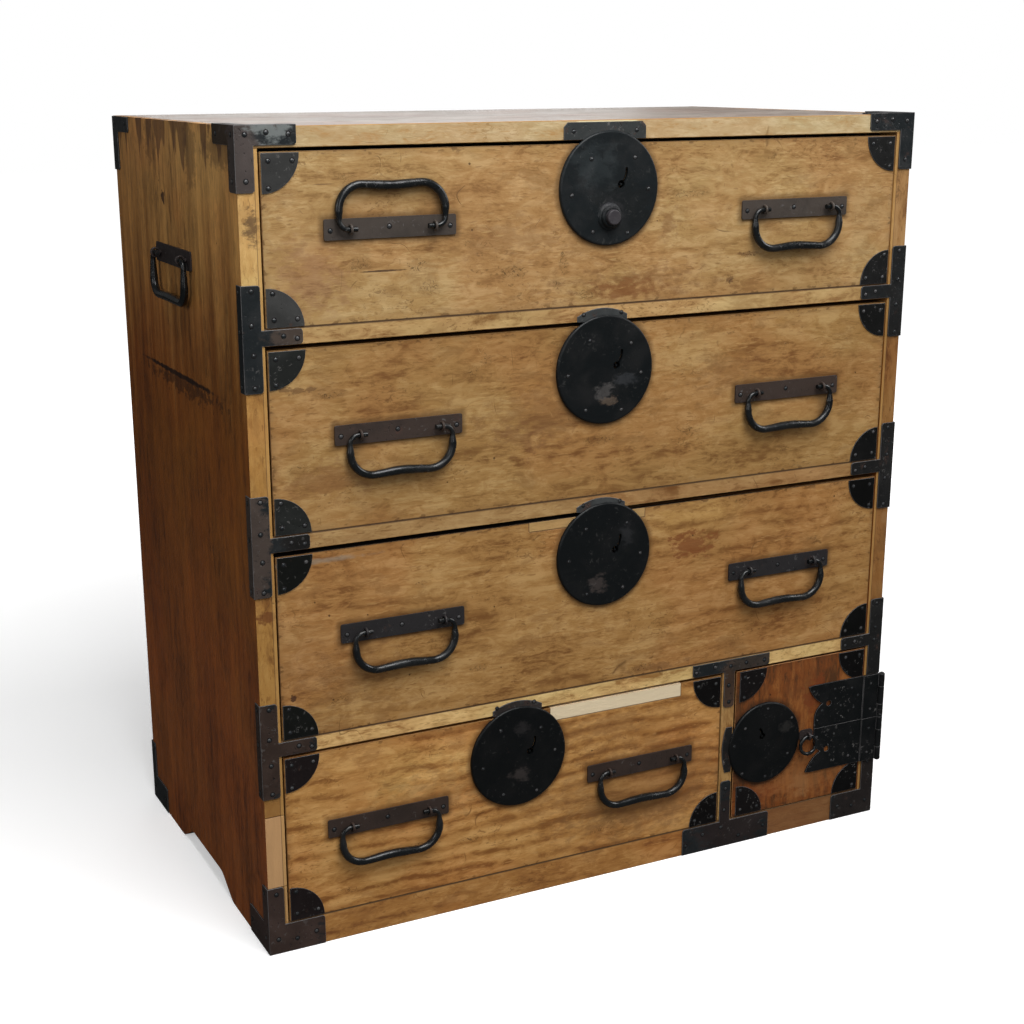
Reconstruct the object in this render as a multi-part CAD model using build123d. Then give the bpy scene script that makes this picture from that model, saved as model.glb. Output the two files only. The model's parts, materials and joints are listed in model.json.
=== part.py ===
"""Iron-bound clothing chest with three wide drawers, one narrow drawer and a small hinged door.

Millimetres. +X is to the right of someone facing the chest, +Y goes from the front to the back,
+Z is up. Inside this file y = 0 is the front face of the case and x = 0 its middle; save() moves
every piece so that the origin is the bottom centre of the whole chest.
"""
import math
import os

from build123d import *

os.makedirs("parts", exist_ok=True)

# ---------------------------------------------------------------- case
case_w = 800.0            # over the side boards
case_d = 455.0            # front face to back face
side_t = 21.0             # side boards
top_t = 20.2              # top board
top_lap = 10.0            # how far the top board runs into each side board
back_t = 8.0              # back planks
back_lap = 10.0           # rebate that takes the planks in each side board
back_planks = 5
base_rail_h = 34.5
base_rail_d = 22.0
bottom_t = 8.0
rail_h = 17.0             # rails between the drawers
rail_d = 28.0
shelf_t = 9.0             # boards behind the rails
dado = 6.0                # groove depth that holds shelves and bottom in the sides
divider_t = 18.0
inner_shelf_t = 9.0       # shelf behind the door
inner_shelf_dado = 4.0
door_stop = 9.0           # square strip that the door closes on
arch_foot = 131.0         # flat foot left at each end of a side board
arch_slope = 38.0
arch_h = 22.0
arch_round = 26.0

# ---------------------------------------------------------------- drawers and door
front_t = 20.0            # drawer fronts and door
gap_side = 1.8
box_side_t = 10.0
box_back_t = 9.0
box_bottom_t = 7.0
front_skin = 8.0          # wood left in front of the lapped drawer sides
side_drop = 8.0           # drawer sides stand this much below the front's top
back_drop = 20.0
drawer_rear_gap = 10.0
door_opening_w = 192.5    # from the divider to the right side board
door_gap_left = 1.8
door_gap_right = 1.5
door_gap_top = 2.0
door_gap_bottom = 0.8
door_cleat_h = 24.0       # cross-grain strips at the door's top and bottom
cleat_tongue = 6.0
cleat_tongue_t = 7.0
door_stop_gap = 0.3

# opening height and the gap over the front; distance from the front's ends to its handle
# centres and their height over the opening's floor; lock centre to the right of the front's
# middle and below its top edge; strike's middle from the lock's; is the left bail folded up
DRAWERS = {
    "drawer_1": {"opening_h": 170.5, "gap_top": 3.2, "inset": (132.5, 136.0), "handle_z": 92.1,
                 "lock_x": 2.4, "lock_drop": 46.2, "strike_x": -5.0, "left_up": True},
    "drawer_2": {"opening_h": 191.3, "gap_top": 4.2, "inset": (137.5, 136.0), "handle_z": 96.7,
                 "lock_x": 0.5, "lock_drop": 48.5, "strike_x": -3.5, "left_up": False},
    "drawer_3": {"opening_h": 202.9, "gap_top": 4.4, "inset": (138.0, 136.0), "handle_z": 106.8,
                 "lock_x": 2.8, "lock_drop": 46.7, "strike_x": -4.0, "left_up": False},
    "drawer_4": {"opening_h": 190.8, "gap_top": 2.6, "inset": (117.0, 110.0), "handle_z": 98.1,
                 "lock_x": 2.2, "lock_drop": 49.4, "strike_x": -1.0, "left_up": False},
}

# ---------------------------------------------------------------- ironwork on the case
iron_t = 1.6
iron_round = 3.5          # rounded outer corners of arms
iron_lift = 0.5           # bottom irons stay this much off the floor
iron_margin = 0.8         # bare wood between an arm and the opening beside it
top_arm_front = 60.0
top_arm_side = 67.0
top_arm_h = 17.7
top_leg_front = 17.0
top_leg_side = 20.0
top_leg_h = 61.2
top_flange = 15.0
foot_arm_front = 62.5
foot_arm_side = 62.0
foot_leg_front = 17.0
foot_leg_side = 16.0
foot_leg_h = 77.5
strap_arm = 60.0
strap_leg_front = 18.0
strap_leg_side = 12.5
strap_len = 105.0
strap_drop = 1.0          # strap's middle below the rail's
divider_leg_w = 14.6
divider_top_arm = 54.0    # half width of the upper plate
divider_top_arm_h = 14.8
divider_top_lift = 1.0    # upper plate over the rail's underside
divider_top_leg = 44.0    # length below the rail
divider_arm_shift = 2.5   # arms' middle to the right of the leg's
divider_foot_arm = 62.0
divider_foot_leg = 51.5
strike_t = 1.2
strike_w = 61.0
strike_end_h = 6.0        # height at the ends of a domed strike
strike_top_w = 98.0
strike_h = 14.0
strike_clip = 4.5
door_strike_len = 58.0
door_strike_end = 9.0     # width at its ends
door_strike_w = 13.8

# ---------------------------------------------------------------- ironwork on the fronts
quarter_r = 38.2
quarter_t = 1.2
quarter_side = 1.2        # bare wood between a quarter iron and the front's end
quarter_edge = 1.0        # bare wood to the front's top or bottom edge
door_quarter_side = 5.0   # the same at the door's free edge
lock_r = 59.0
door_lock_r = 51.5
lock_t = 3.6
lock_edge = 2.4
lock_relief = 1.7         # hollow behind the part that laps over a strike
door_lock_inset = 43.0    # lock centre from the door's free edge
door_lock_low = 4.0       # lock centre below the hinges' middle
# keyhole from the lock's centre, and its slot's middle and end from the keyhole
DRAWER_KEY = {"at": (13.5, 4.0), "bend": (5.6, 9.0), "end": (6.2, 17.0)}
DOOR_KEY = {"at": (-4.2, 9.5), "bend": (-1.2, 6.2), "end": (-4.4, 10.5)}
key_r = 4.1
key_slot_w = 2.8
key_pin_r = 1.3
key_pocket_r = 6.5
key_pocket_depth = 9.0
knob_drop = 29.0          # push button below the lock's centre
knob_r = 8.0
knob_stand = 11.0         # button face over the lock plate
knob_tail = 6.0
knob_travel = 3.0
knob_gap = 0.3
knob_flange = 1.6         # shoulder that keeps the button behind the lock plate
knob_flange_t = 2.0
collar_r = 14.5
collar_h = 6.0
bolt_w = 12.0
bolt_t = 5.0
bolt_len = 30.0
bolt_gap = 0.2
bolt_sink = 0.5           # drawn bolt below the edge it comes out of
bolt_travel = 12.0
mortise_gap = 1.0
mortise_depth = 10.5

# ---------------------------------------------------------------- handles
# pin_inset: pins from the plate's ends; leg_out: the bail's legs outside the pins
HANDLE = {"plate_w": 141.0, "plate_h": 20.4, "plate_t": 1.8, "pin_inset": 25.5, "leg_out": 11.7,
          "drop": 44.5, "rise": 4.0, "bend": 9.5, "corner": 25.0,
          "tip_r": 2.6, "leg_r": 4.1, "grip_r": 4.7}
SIDE_HANDLE = {"plate_w": 130.0, "plate_h": 20.6, "plate_t": 1.8, "pin_inset": 17.0,
               "leg_out": 10.8, "drop": 45.2, "rise": 1.5, "bend": 8.0, "corner": 17.0,
               "tip_r": 2.8, "leg_r": 4.2, "grip_r": 4.8}
side_handle_z = 720.5
eye_gap = 0.3             # play of a bail's tip or a ring in its eye
eye_wire = 1.3            # wire radius of the split pins
eye_lift = 0.2
tip_len = 7.0             # bail tip past the eye
shank_r = 2.2
shank_gap = 0.1
clinch_len = 12.0         # split pin legs bent over inside
clinch_t = 1.6
clinch_recess = 2.0       # side boards take the legs below their inner face
clinch_gap = 0.4
bail_wood_gap = 0.3       # folded bail from the front it leans on
grip_round = 140.0

# ---------------------------------------------------------------- door hinges and ring
hinge_h = 57.0            # each of the two hinges
hinge_seam = 0.4
hinge_reach = 105.0       # tips of the door leaf from the case's side
hinge_leaf_t = 2.0
hinge_fold_t = 3.6        # doubled part over the case edge
hinge_fold_w = 22.5
hinge_side_leaf = 38.0
hinge_side_t = 1.8
knuckle_r = 3.8
knuckle_y = -4.2          # pin axis in front of the case face
pin_r = 1.7
pin_gap = 0.05
pin_head_r = 2.6
pin_head_t = 1.2
knuckle_gap = 0.3
case_knuckle = 23.0
hinge_hole_r = 3.7
hinge_iron_gap = 0.6      # irons stop this far from the hinges
RING = {"plate_w": 20.0, "plate_h": 14.0, "plate_t": 1.6, "tip_r": 2.2, "grip_r": 2.2}
ring_r = 11.5
ring_x = 83.8             # ring centre from the door's hinge edge
ring_rise = -5.8          # ring eye over the door's middle
ring_plate_round = 5.0

# ---------------------------------------------------------------- levels and widths
half_w = case_w / 2
inner_w = half_w - side_t
lower_z = base_rail_h
rail_lower_z = lower_z + DRAWERS["drawer_4"]["opening_h"]
drawer_3_z = rail_lower_z + rail_h
rail_middle_z = drawer_3_z + DRAWERS["drawer_3"]["opening_h"]
drawer_2_z = rail_middle_z + rail_h
rail_upper_z = drawer_2_z + DRAWERS["drawer_2"]["opening_h"]
drawer_1_z = rail_upper_z + rail_h
top_z = drawer_1_z + DRAWERS["drawer_1"]["opening_h"]
case_h = top_z + top_t
back_y = case_d - back_t
divider_x1 = inner_w - door_opening_w
divider_x0 = divider_x1 - divider_t
divider_x = (divider_x0 + divider_x1) / 2
hinge_z = (lower_z + rail_lower_z) / 2
door_lock_z = hinge_z - door_lock_low
knuckle_x = half_w + knuckle_r
lock_stand = lock_t + knob_stand


def post(h):
    """Distance of a handle's pins from its middle."""
    return h["plate_w"] / 2 - h["pin_inset"]


def eye_bore(h):
    """Inner radius of the eye that a bail's tip turns in."""
    return h["tip_r"] + eye_gap


def bail_axis(h):
    """Distance of a bail's axis from the wood that its plate lies on."""
    return h["plate_t"] + eye_lift + eye_bore(h) + 2 * eye_wire


def handle_stand(h):
    """How far a hanging handle stands out of the wood."""
    return bail_axis(h) + max(h["grip_r"], eye_bore(h) + 2 * eye_wire)


front_proud = max(lock_stand, handle_stand(HANDLE), handle_stand(RING), knuckle_r - knuckle_y)
front_y = (front_proud - case_d - iron_t) / 2


# ---------------------------------------------------------------- helpers
def block(x, y, z):
    """Box between the two ends given for each direction."""
    size = [max(r) - min(r) for r in (x, y, z)]
    middle = [(r[0] + r[1]) / 2 for r in (x, y, z)]
    return Pos(*middle) * Box(*size)


def rod_y(x, z, radius, y0, y1):
    """Cylinder along Y."""
    return Pos(x, (y0 + y1) / 2, z) * Rot(90, 0, 0) * Cylinder(radius, abs(y1 - y0))


def rod_z(x, y, radius, z0, z1):
    """Cylinder along Z."""
    return Pos(x, y, (z0 + z1) / 2) * Cylinder(radius, abs(z1 - z0))


def front_plate(face, y_front, y_back):
    """Extrude a face drawn in x and z from y_front back to y_back."""
    plane = Plane(origin=(0, y_back, 0), x_dir=(1, 0, 0), z_dir=(0, -1, 0))
    return extrude(plane * face, amount=y_back - y_front)


def round_corners(face, corners, radius):
    """Round the corners of a flat face that lie at the given points."""
    chosen = [v for v in face.vertices()
              if any(math.dist((v.X, v.Y), c) < 0.01 for c in corners)]
    return fillet(chosen, radius)


def outline(*points):
    """Flat face inside straight edges."""
    return make_face(Polyline(*points, points[0]))


def save(name, *solids):
    """Write one node, its solids moved so that the origin is the chest's bottom centre."""
    placed = [Pos(0, front_y, 0) * s for s in solids]
    whole = Compound(children=[solid for s in placed for solid in s.solids()])
    export_step(whole, f"parts/{name}.step")


def both(shape):
    """A shape and its mirror image on the other side of the chest."""
    return [shape, mirror(shape, about=Plane.YZ)]


# ---------------------------------------------------------------- case woodwork
def shelf_levels():
    """Top face of every board that the side boards are grooved for, with its thickness."""
    levels = [(lower_z, bottom_t)]
    for z in (rail_lower_z, rail_middle_z, rail_upper_z):
        levels.append((z + rail_h, shelf_t))
    return levels


def right_side():
    foot = arch_foot
    crest = arch_foot + arch_slope
    corners = [(foot, 0), (crest, arch_h), (case_d - crest, arch_h), (case_d - foot, 0)]
    face = outline((0, 0), *corners, (case_d, 0), (case_d, case_h), (0, case_h))
    face = round_corners(face, corners, arch_round)
    plane = Plane(origin=(inner_w, 0, 0), x_dir=(0, 1, 0), z_dir=(1, 0, 0))
    board = extrude(plane * face, amount=side_t)
    board -= block((inner_w, half_w - top_lap), (0, case_d), (top_z, case_h))
    board -= block((inner_w, inner_w + back_lap), (back_y, case_d), (0, top_z))
    for z, thick in shelf_levels():
        front = base_rail_d if z == lower_z else rail_d
        board -= block((inner_w, inner_w + dado), (front, back_y), (z - thick, z))
    for y in (case_d / 2 - post(SIDE_HANDLE), case_d / 2 + post(SIDE_HANDLE)):
        bore = Cylinder(shank_r + shank_gap, side_t)
        board -= Pos(inner_w + side_t / 2, y, side_handle_z) * Rot(0, 90, 0) * bore
        length, height = clinch_len + clinch_gap, shank_r + clinch_gap
        board -= block((inner_w, inner_w + clinch_recess), (y - length, y + length),
                       (side_handle_z - height, side_handle_z + height))
    return board


def inner_shelf_z():
    return (lower_z + rail_lower_z) / 2


def shelf_groove(x):
    z = inner_shelf_z()
    return block(x, (front_t + door_stop, back_y), (z, z + inner_shelf_t))


def build_case():
    left, right = mirror(right_side(), about=Plane.YZ), right_side()
    right -= shelf_groove((inner_w, inner_w + inner_shelf_dado))
    save("left_side", left)
    save("right_side", right)

    top = block((-half_w + top_lap, half_w - top_lap), (0, case_d), (top_z, case_h))
    top -= bolt_mortise(lock_centre("drawer_1")[0], top_z)
    save("top_board", top)

    floor = block((-inner_w - dado, inner_w + dado), (base_rail_d, back_y),
                  (lower_z - bottom_t, lower_z))
    base_rail = block((-inner_w, inner_w), (0, base_rail_d), (0, base_rail_h))
    save("bottom_board", floor, base_rail)

    plank_span = 2 * (inner_w + back_lap)
    plank_w = plank_span / back_planks
    planks = []
    for i in range(back_planks):
        x0 = -plank_span / 2 + i * plank_w
        plank = block((x0, x0 + plank_w), (back_y, case_d), (lower_z - bottom_t, top_z))
        planks.append(plank)
    save("back_boards", *planks)

    rails = {"upper": ("drawer_2", rail_upper_z), "middle": ("drawer_3", rail_middle_z),
             "lower": ("drawer_4", rail_lower_z)}
    for name, (drawer, z) in rails.items():
        rail = block((-inner_w, inner_w), (0, rail_d), (z, z + rail_h))
        rail -= bolt_mortise(lock_centre(drawer)[0], z)
        board = block((-inner_w - dado, inner_w + dado), (rail_d, back_y),
                      (z + rail_h - shelf_t, z + rail_h))
        save(f"shelf_{name}", rail, board)

    under_board = rail_lower_z + rail_h - shelf_t
    upright = block((divider_x0, divider_x1), (0, rail_d), (lower_z, rail_lower_z))
    upright += block((divider_x0, divider_x1), (rail_d, back_y), (lower_z, under_board))
    upright -= shelf_groove((divider_x1 - inner_shelf_dado, divider_x1))
    upright -= block((divider_x1 - mortise_depth, divider_x1), *door_mortise_yz())
    stop = block((divider_x1, divider_x1 + door_stop),
                 (front_t + door_stop_gap, front_t + door_stop), (lower_z, rail_lower_z))
    save("divider", upright, stop)

    shelf = block((divider_x1 - inner_shelf_dado, inner_w + inner_shelf_dado),
                  (front_t + door_stop, back_y), (inner_shelf_z(), inner_shelf_z() + inner_shelf_t))
    save("compartment_shelf", shelf)


def bolt_mortise(x, z):
    """Pocket in the underside of a rail or the top board, over the drawer's lock bolt."""
    w = bolt_w / 2 + mortise_gap
    y = front_t / 2
    d = bolt_t / 2 + mortise_gap
    return block((x - w, x + w), (y - d, y + d), (z, z + mortise_depth))


def door_mortise_yz():
    """Sides of the pocket in the divider that takes the door's lock bolt."""
    w = bolt_w / 2 + mortise_gap
    d = bolt_t / 2 + mortise_gap
    return (front_t / 2 - d, front_t / 2 + d), (door_lock_z - w, door_lock_z + w)


# ---------------------------------------------------------------- case ironwork
def angle_iron(front, side, arm_h, leg_front, leg_side, leg_h):
    """Corner iron on the case's front left edge, z measured down from the case's corner."""
    x = -half_w - iron_t
    ends = [(-half_w + front, -arm_h), (-half_w + leg_front, -leg_h)]
    face = outline((x, 0), (-half_w + front, 0), ends[0], (-half_w + leg_front, -arm_h),
                   ends[1], (x, -leg_h))
    iron = front_plate(round_corners(face, ends, iron_round), -iron_t, 0)
    ends = [(side, -arm_h), (leg_side, -leg_h)]
    face = outline((0, 0), (side, 0), ends[0], (leg_side, -arm_h), ends[1], (0, -leg_h))
    plane = Plane(origin=(x, 0, 0), x_dir=(0, 1, 0), z_dir=(1, 0, 0))
    iron += extrude(plane * round_corners(face, ends, iron_round), amount=iron_t)
    return iron


def to_back(shape):
    """The same piece on the case's back edge."""
    return mirror(shape, about=Plane(origin=(0, case_d / 2, 0), z_dir=(0, 1, 0)))


def hinge_clearing():
    """Room that the irons of the right edge leave for the door's hinges."""
    reach = hinge_h + hinge_iron_gap
    return block((inner_w - 2, half_w + 12), (-12, hinge_side_leaf + 1),
                 (hinge_z - reach, hinge_z + reach))


def build_corner_irons():
    top_iron = angle_iron(top_arm_front, top_arm_side, top_arm_h, top_leg_front, top_leg_side,
                          top_leg_h)
    x0 = -half_w - iron_t
    flange = block((x0, -half_w + top_arm_front), (-iron_t, top_flange), (0, iron_t))
    flange += block((x0, -half_w + top_flange), (top_flange, top_arm_side), (0, iron_t))
    top_iron = Pos(0, 0, case_h) * (top_iron + flange)
    foot_arm_h = base_rail_h - iron_lift - iron_margin
    foot_iron = angle_iron(foot_arm_front, foot_arm_side, foot_arm_h,
                           foot_leg_front, foot_leg_side, foot_leg_h)
    foot_iron = Pos(0, 0, iron_lift) * mirror(foot_iron, about=Plane.XY)
    irons = []
    for iron in (top_iron, foot_iron):
        for piece in both(iron):
            irons += [piece, to_back(piece)]
    save("corner_irons", *[iron - hinge_clearing() for iron in irons])


def strap_iron(z):
    """Iron on the case's left edge at a rail whose underside is at z."""
    middle = z + rail_h / 2 - strap_drop
    x0, low, high = -half_w - iron_t, middle - strap_len / 2, middle + strap_len / 2
    leg_x, arm_x = -half_w + strap_leg_front, -half_w + strap_arm
    arm_low, arm_high = z + iron_margin, z + rail_h - iron_margin
    ends = [(arm_x, arm_low), (arm_x, arm_high)]
    tips = [(leg_x, low), (leg_x, high)]
    face = outline((x0, low), tips[0], (leg_x, arm_low), ends[0], ends[1], (leg_x, arm_high),
                   tips[1], (x0, high))
    face = round_corners(face, ends + tips, iron_round)
    iron = front_plate(face, -iron_t, 0)
    return iron + block((x0, -half_w), (0, strap_leg_side), (low, high))


def build_strap_irons():
    irons = []
    for z in (rail_lower_z, rail_middle_z, rail_upper_z):
        irons += both(strap_iron(z))
    save("strap_irons", *[iron - hinge_clearing() for iron in irons])


def tee_plate(arm, arm_low, arm_high, leg_end):
    """Flat T on the divider's front: cross arm between two levels, leg down or up to leg_end."""
    x, w, a = divider_x, divider_leg_w / 2, divider_x + divider_arm_shift
    root = arm_low if leg_end < arm_low else arm_high
    far = arm_high if leg_end < arm_low else arm_low
    tips = [(x - w, leg_end), (x + w, leg_end)]
    ends = [(a - arm, root), (a + arm, root)]
    face = outline((a - arm, far), ends[0], (x - w, root), tips[0], tips[1], (x + w, root),
                   ends[1], (a + arm, far))
    return front_plate(round_corners(face, ends + tips, iron_round), -iron_t, 0)


def build_divider_irons():
    low = rail_lower_z + divider_top_lift
    upper = tee_plate(divider_top_arm, low, low + divider_top_arm_h,
                      rail_lower_z - divider_top_leg)
    foot = tee_plate(divider_foot_arm, iron_lift, base_rail_h - iron_margin,
                     base_rail_h + divider_foot_leg)
    save("divider_irons", upper, foot)


def clipped_strike(x, z, width, height):
    """Plate on a board over a lock, with clipped upper corners."""
    w, top, c = width / 2, z + height, strike_clip
    face = outline((x - w, z), (x + w, z), (x + w, top - c), (x + w - c, top),
                   (x - w + c, top), (x - w, top - c))
    return front_plate(face, -strike_t, 0)


def domed_strike(width, height, end):
    """Plate on the x axis with an arched upper edge."""
    w = width / 2
    edge = [Line((-w, 0), (w, 0)), Line((w, 0), (w, end)),
            ThreePointArc((w, end), (0, height), (-w, end)), Line((-w, end), (-w, 0))]
    return front_plate(make_face(Wire(edge)), -strike_t, 0)


def build_strikes():
    x = {name: lock_centre(name)[0] + DRAWERS[name]["strike_x"] for name in DRAWERS}
    plates = [clipped_strike(x["drawer_1"], top_z + 0.5, strike_top_w, top_t - 2.5)]
    rails = {"drawer_2": rail_upper_z, "drawer_3": rail_middle_z, "drawer_4": rail_lower_z}
    for name, z in rails.items():
        plates.append(Pos(x[name], 0, z) * domed_strike(strike_w, strike_h, strike_end_h))
    upright = domed_strike(door_strike_len, door_strike_w, door_strike_end)
    place = Pos(divider_x + door_strike_w / 2, 0, door_lock_z)
    plates.append(place * Rot(0, -90, 0) * upright)
    save("strike_plates", *plates)


# ---------------------------------------------------------------- handles
def tapered_rod(path, radii):
    """Round bar along straight runs and arcs; a run's radius changes, an arc's stays."""
    bar = None
    for edge, (r0, r1) in zip(path.edges(), radii):
        start = Plane(edge.location_at(0)) * Circle(r0)
        if r0 == r1:
            piece = sweep(start, path=edge)
        else:
            piece = loft([start, Plane(edge.location_at(1)) * Circle(r1)])
        bar = piece if bar is None else bar + piece
    return bar


def bail(h):
    """Drop handle hanging down in the x-z plane, its axis on the x axis."""
    tip_x, leg_x = post(h) - tip_len, post(h) + h["leg_out"]
    right = [(tip_x, 0, 0), (leg_x, 0, 0), (leg_x, 0, -h["drop"])]
    left = [(-x, y, z) for x, y, z in reversed(right)]
    corners = [h["bend"], h["corner"], grip_round, h["corner"], h["bend"]]
    path = FilletPolyline(*right, (0, 0, -h["drop"] + h["rise"]), *left, radius=corners)
    tip, leg, grip = h["tip_r"], h["leg_r"], h["grip_r"]
    half = [(tip, tip), (tip, tip), (tip, leg), (leg, leg), (leg, grip)]
    back = [(b, a) for a, b in reversed(half)]
    return tapered_rod(path, half + [(grip, grip)] + back)


def split_pin(h, depth):
    """Eye in the x-z plane's origin, with a shank through wood of the given depth along +y."""
    inner = eye_bore(h)
    stand = bail_axis(h)
    eye = Rot(0, 90, 0) * Torus(inner + eye_wire, eye_wire)
    shank = rod_y(0, 0, shank_r, inner + eye_wire, stand + depth + clinch_t)
    legs = block((-clinch_len, clinch_len), (stand + depth, stand + depth + clinch_t),
                 (-shank_r, shank_r))
    return eye + shank + legs


def handle_plate(h):
    """Back plate in the x-z plane, its back face at y = 0, with holes for the split pins."""
    plate = Rectangle(h["plate_w"], h["plate_h"])
    plate = fillet(plate.vertices(), 2.0)
    body = front_plate(plate, -h["plate_t"], 0)
    for side in (-1, 1):
        body -= rod_y(side * post(h), 0, shank_r + shank_gap, -h["plate_t"], 0)
    return body


def handle(h, depth):
    """Plate and two split pins as separate solids, and the bail, at the wood's face."""
    pins = []
    for side in (-1, 1):
        pins.append(Pos(side * post(h), -bail_axis(h), 0) * split_pin(h, depth))
    return [handle_plate(h)] + pins, Pos(0, -bail_axis(h), 0) * bail(h)


def folded_lean():
    """Angle past upright at which a bail folded up rests on its front."""
    reach = bail_axis(HANDLE) - HANDLE["grip_r"] - bail_wood_gap
    return math.degrees(math.asin(reach / HANDLE["drop"]))


def pin_holes(h, x, z, y1):
    """Bores in wood for a handle's two split pins."""
    holes = [rod_y(x + s * post(h), z, shank_r + shank_gap, 0, y1) for s in (-1, 1)]
    return holes[0] + holes[1]


def build_side_handles():
    irons, swing = handle(SIDE_HANDLE, side_t - clinch_recess)
    turn = Pos(-half_w, case_d / 2, side_handle_z) * Rot(0, 0, -90)
    left_irons = [turn * piece for piece in irons]
    left_bail = turn * swing
    save("side_handle_plates", *left_irons, *[mirror(p, about=Plane.YZ) for p in left_irons])
    save("side_bail_left", left_bail)
    save("side_bail_right", mirror(left_bail, about=Plane.YZ))


# ---------------------------------------------------------------- locks
def keyhole(x, z, key):
    """Round hole with a curved slot rising from it, for a lock whose centre is at x and z."""
    slot = trace(ThreePointArc((0, 0), key["bend"], key["end"]), line_width=key_slot_w)
    return Pos(x + key["at"][0], z + key["at"][1]) * (Circle(key_r) + slot)


def lock_plate(x, z, radius, key, relief, knob):
    """Round lock plate with its key pin, and the collar of the push button where it has one."""
    disc = rod_y(x, z, radius, -lock_t, 0)
    rim = disc.edges().filter_by(GeomType.CIRCLE).sort_by(Axis.Y)[0]
    disc = fillet(rim, lock_edge) - relief
    disc -= front_plate(keyhole(x, z, key), -lock_t, 0)
    pin_x, pin_z = x + key["at"][0], z + key["at"][1]
    solids = [disc, rod_y(pin_x, pin_z, key_pin_r, -lock_t + 0.6, key_pocket_depth)]
    if knob:
        bore = knob_r + knob_gap
        solids[0] -= rod_y(x, z - knob_drop, bore, -lock_t, 0)
        lip = collar_h - 1.2
        ring = outline((bore, 0), (collar_r, 0), (collar_r - 0.8, 1.4), (collar_r - 2.8, 2.4),
                       (collar_r - 3.2, lip), (collar_r - 4.4, collar_h), (bore, collar_h))
        ring = revolve(Plane.XZ * ring, axis=Axis.Z)
        solids.append(Pos(x, -lock_t, z - knob_drop) * Rot(90, 0, 0) * ring)
    return solids


def key_pocket(x, z, key):
    """Hollow in the wood behind a keyhole."""
    pocket = rod_y(x + key["at"][0], z + key["at"][1], key_pocket_r, 0, key_pocket_depth)
    return pocket + front_plate(keyhole(x, z, key), 0, key_pocket_depth / 2)


def upright_bolt(x, z_top):
    """Lock bolt drawn down into a front whose top edge is at z_top, and its slot."""
    y, w, d = front_t / 2, bolt_w / 2, bolt_t / 2
    low = z_top - bolt_sink - bolt_len
    bolt = block((x - w, x + w), (y - d, y + d), (low, z_top - bolt_sink))
    g = bolt_gap
    slot = block((x - w - g, x + w + g), (y - d - g, y + d + g), (low, z_top))
    return bolt, slot


# ---------------------------------------------------------------- drawers
def drawer_bounds(name):
    """Left and right end of a drawer's front, its floor and its top edge."""
    floors = {"drawer_1": drawer_1_z, "drawer_2": drawer_2_z, "drawer_3": drawer_3_z,
              "drawer_4": lower_z}
    right = divider_x0 if name == "drawer_4" else inner_w
    z0, spec = floors[name], DRAWERS[name]
    z1 = z0 + spec["opening_h"] - spec["gap_top"]
    return -inner_w + gap_side, right - gap_side, z0, z1


def lock_centre(name):
    """Middle of a drawer's lock plate in x and z."""
    x0, x1, z0, z1 = drawer_bounds(name)
    return (x0 + x1) / 2 + DRAWERS[name]["lock_x"], z1 - DRAWERS[name]["lock_drop"]


def quarter_irons(x0, x1, z0, z1, left_margin):
    """Quarter discs in the four corners of a front."""
    irons = []
    for x, sx in ((x0 + left_margin, 1), (x1 - quarter_side, -1)):
        for z, sz in ((z0 + quarter_edge, 1), (z1 - quarter_edge, -1)):
            disc = rod_y(x, z, quarter_r, -quarter_t, 0)
            square = block((x, x + sx * quarter_r), (-quarter_t, 0), (z, z + sz * quarter_r))
            irons.append(disc & square)
    return irons


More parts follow.
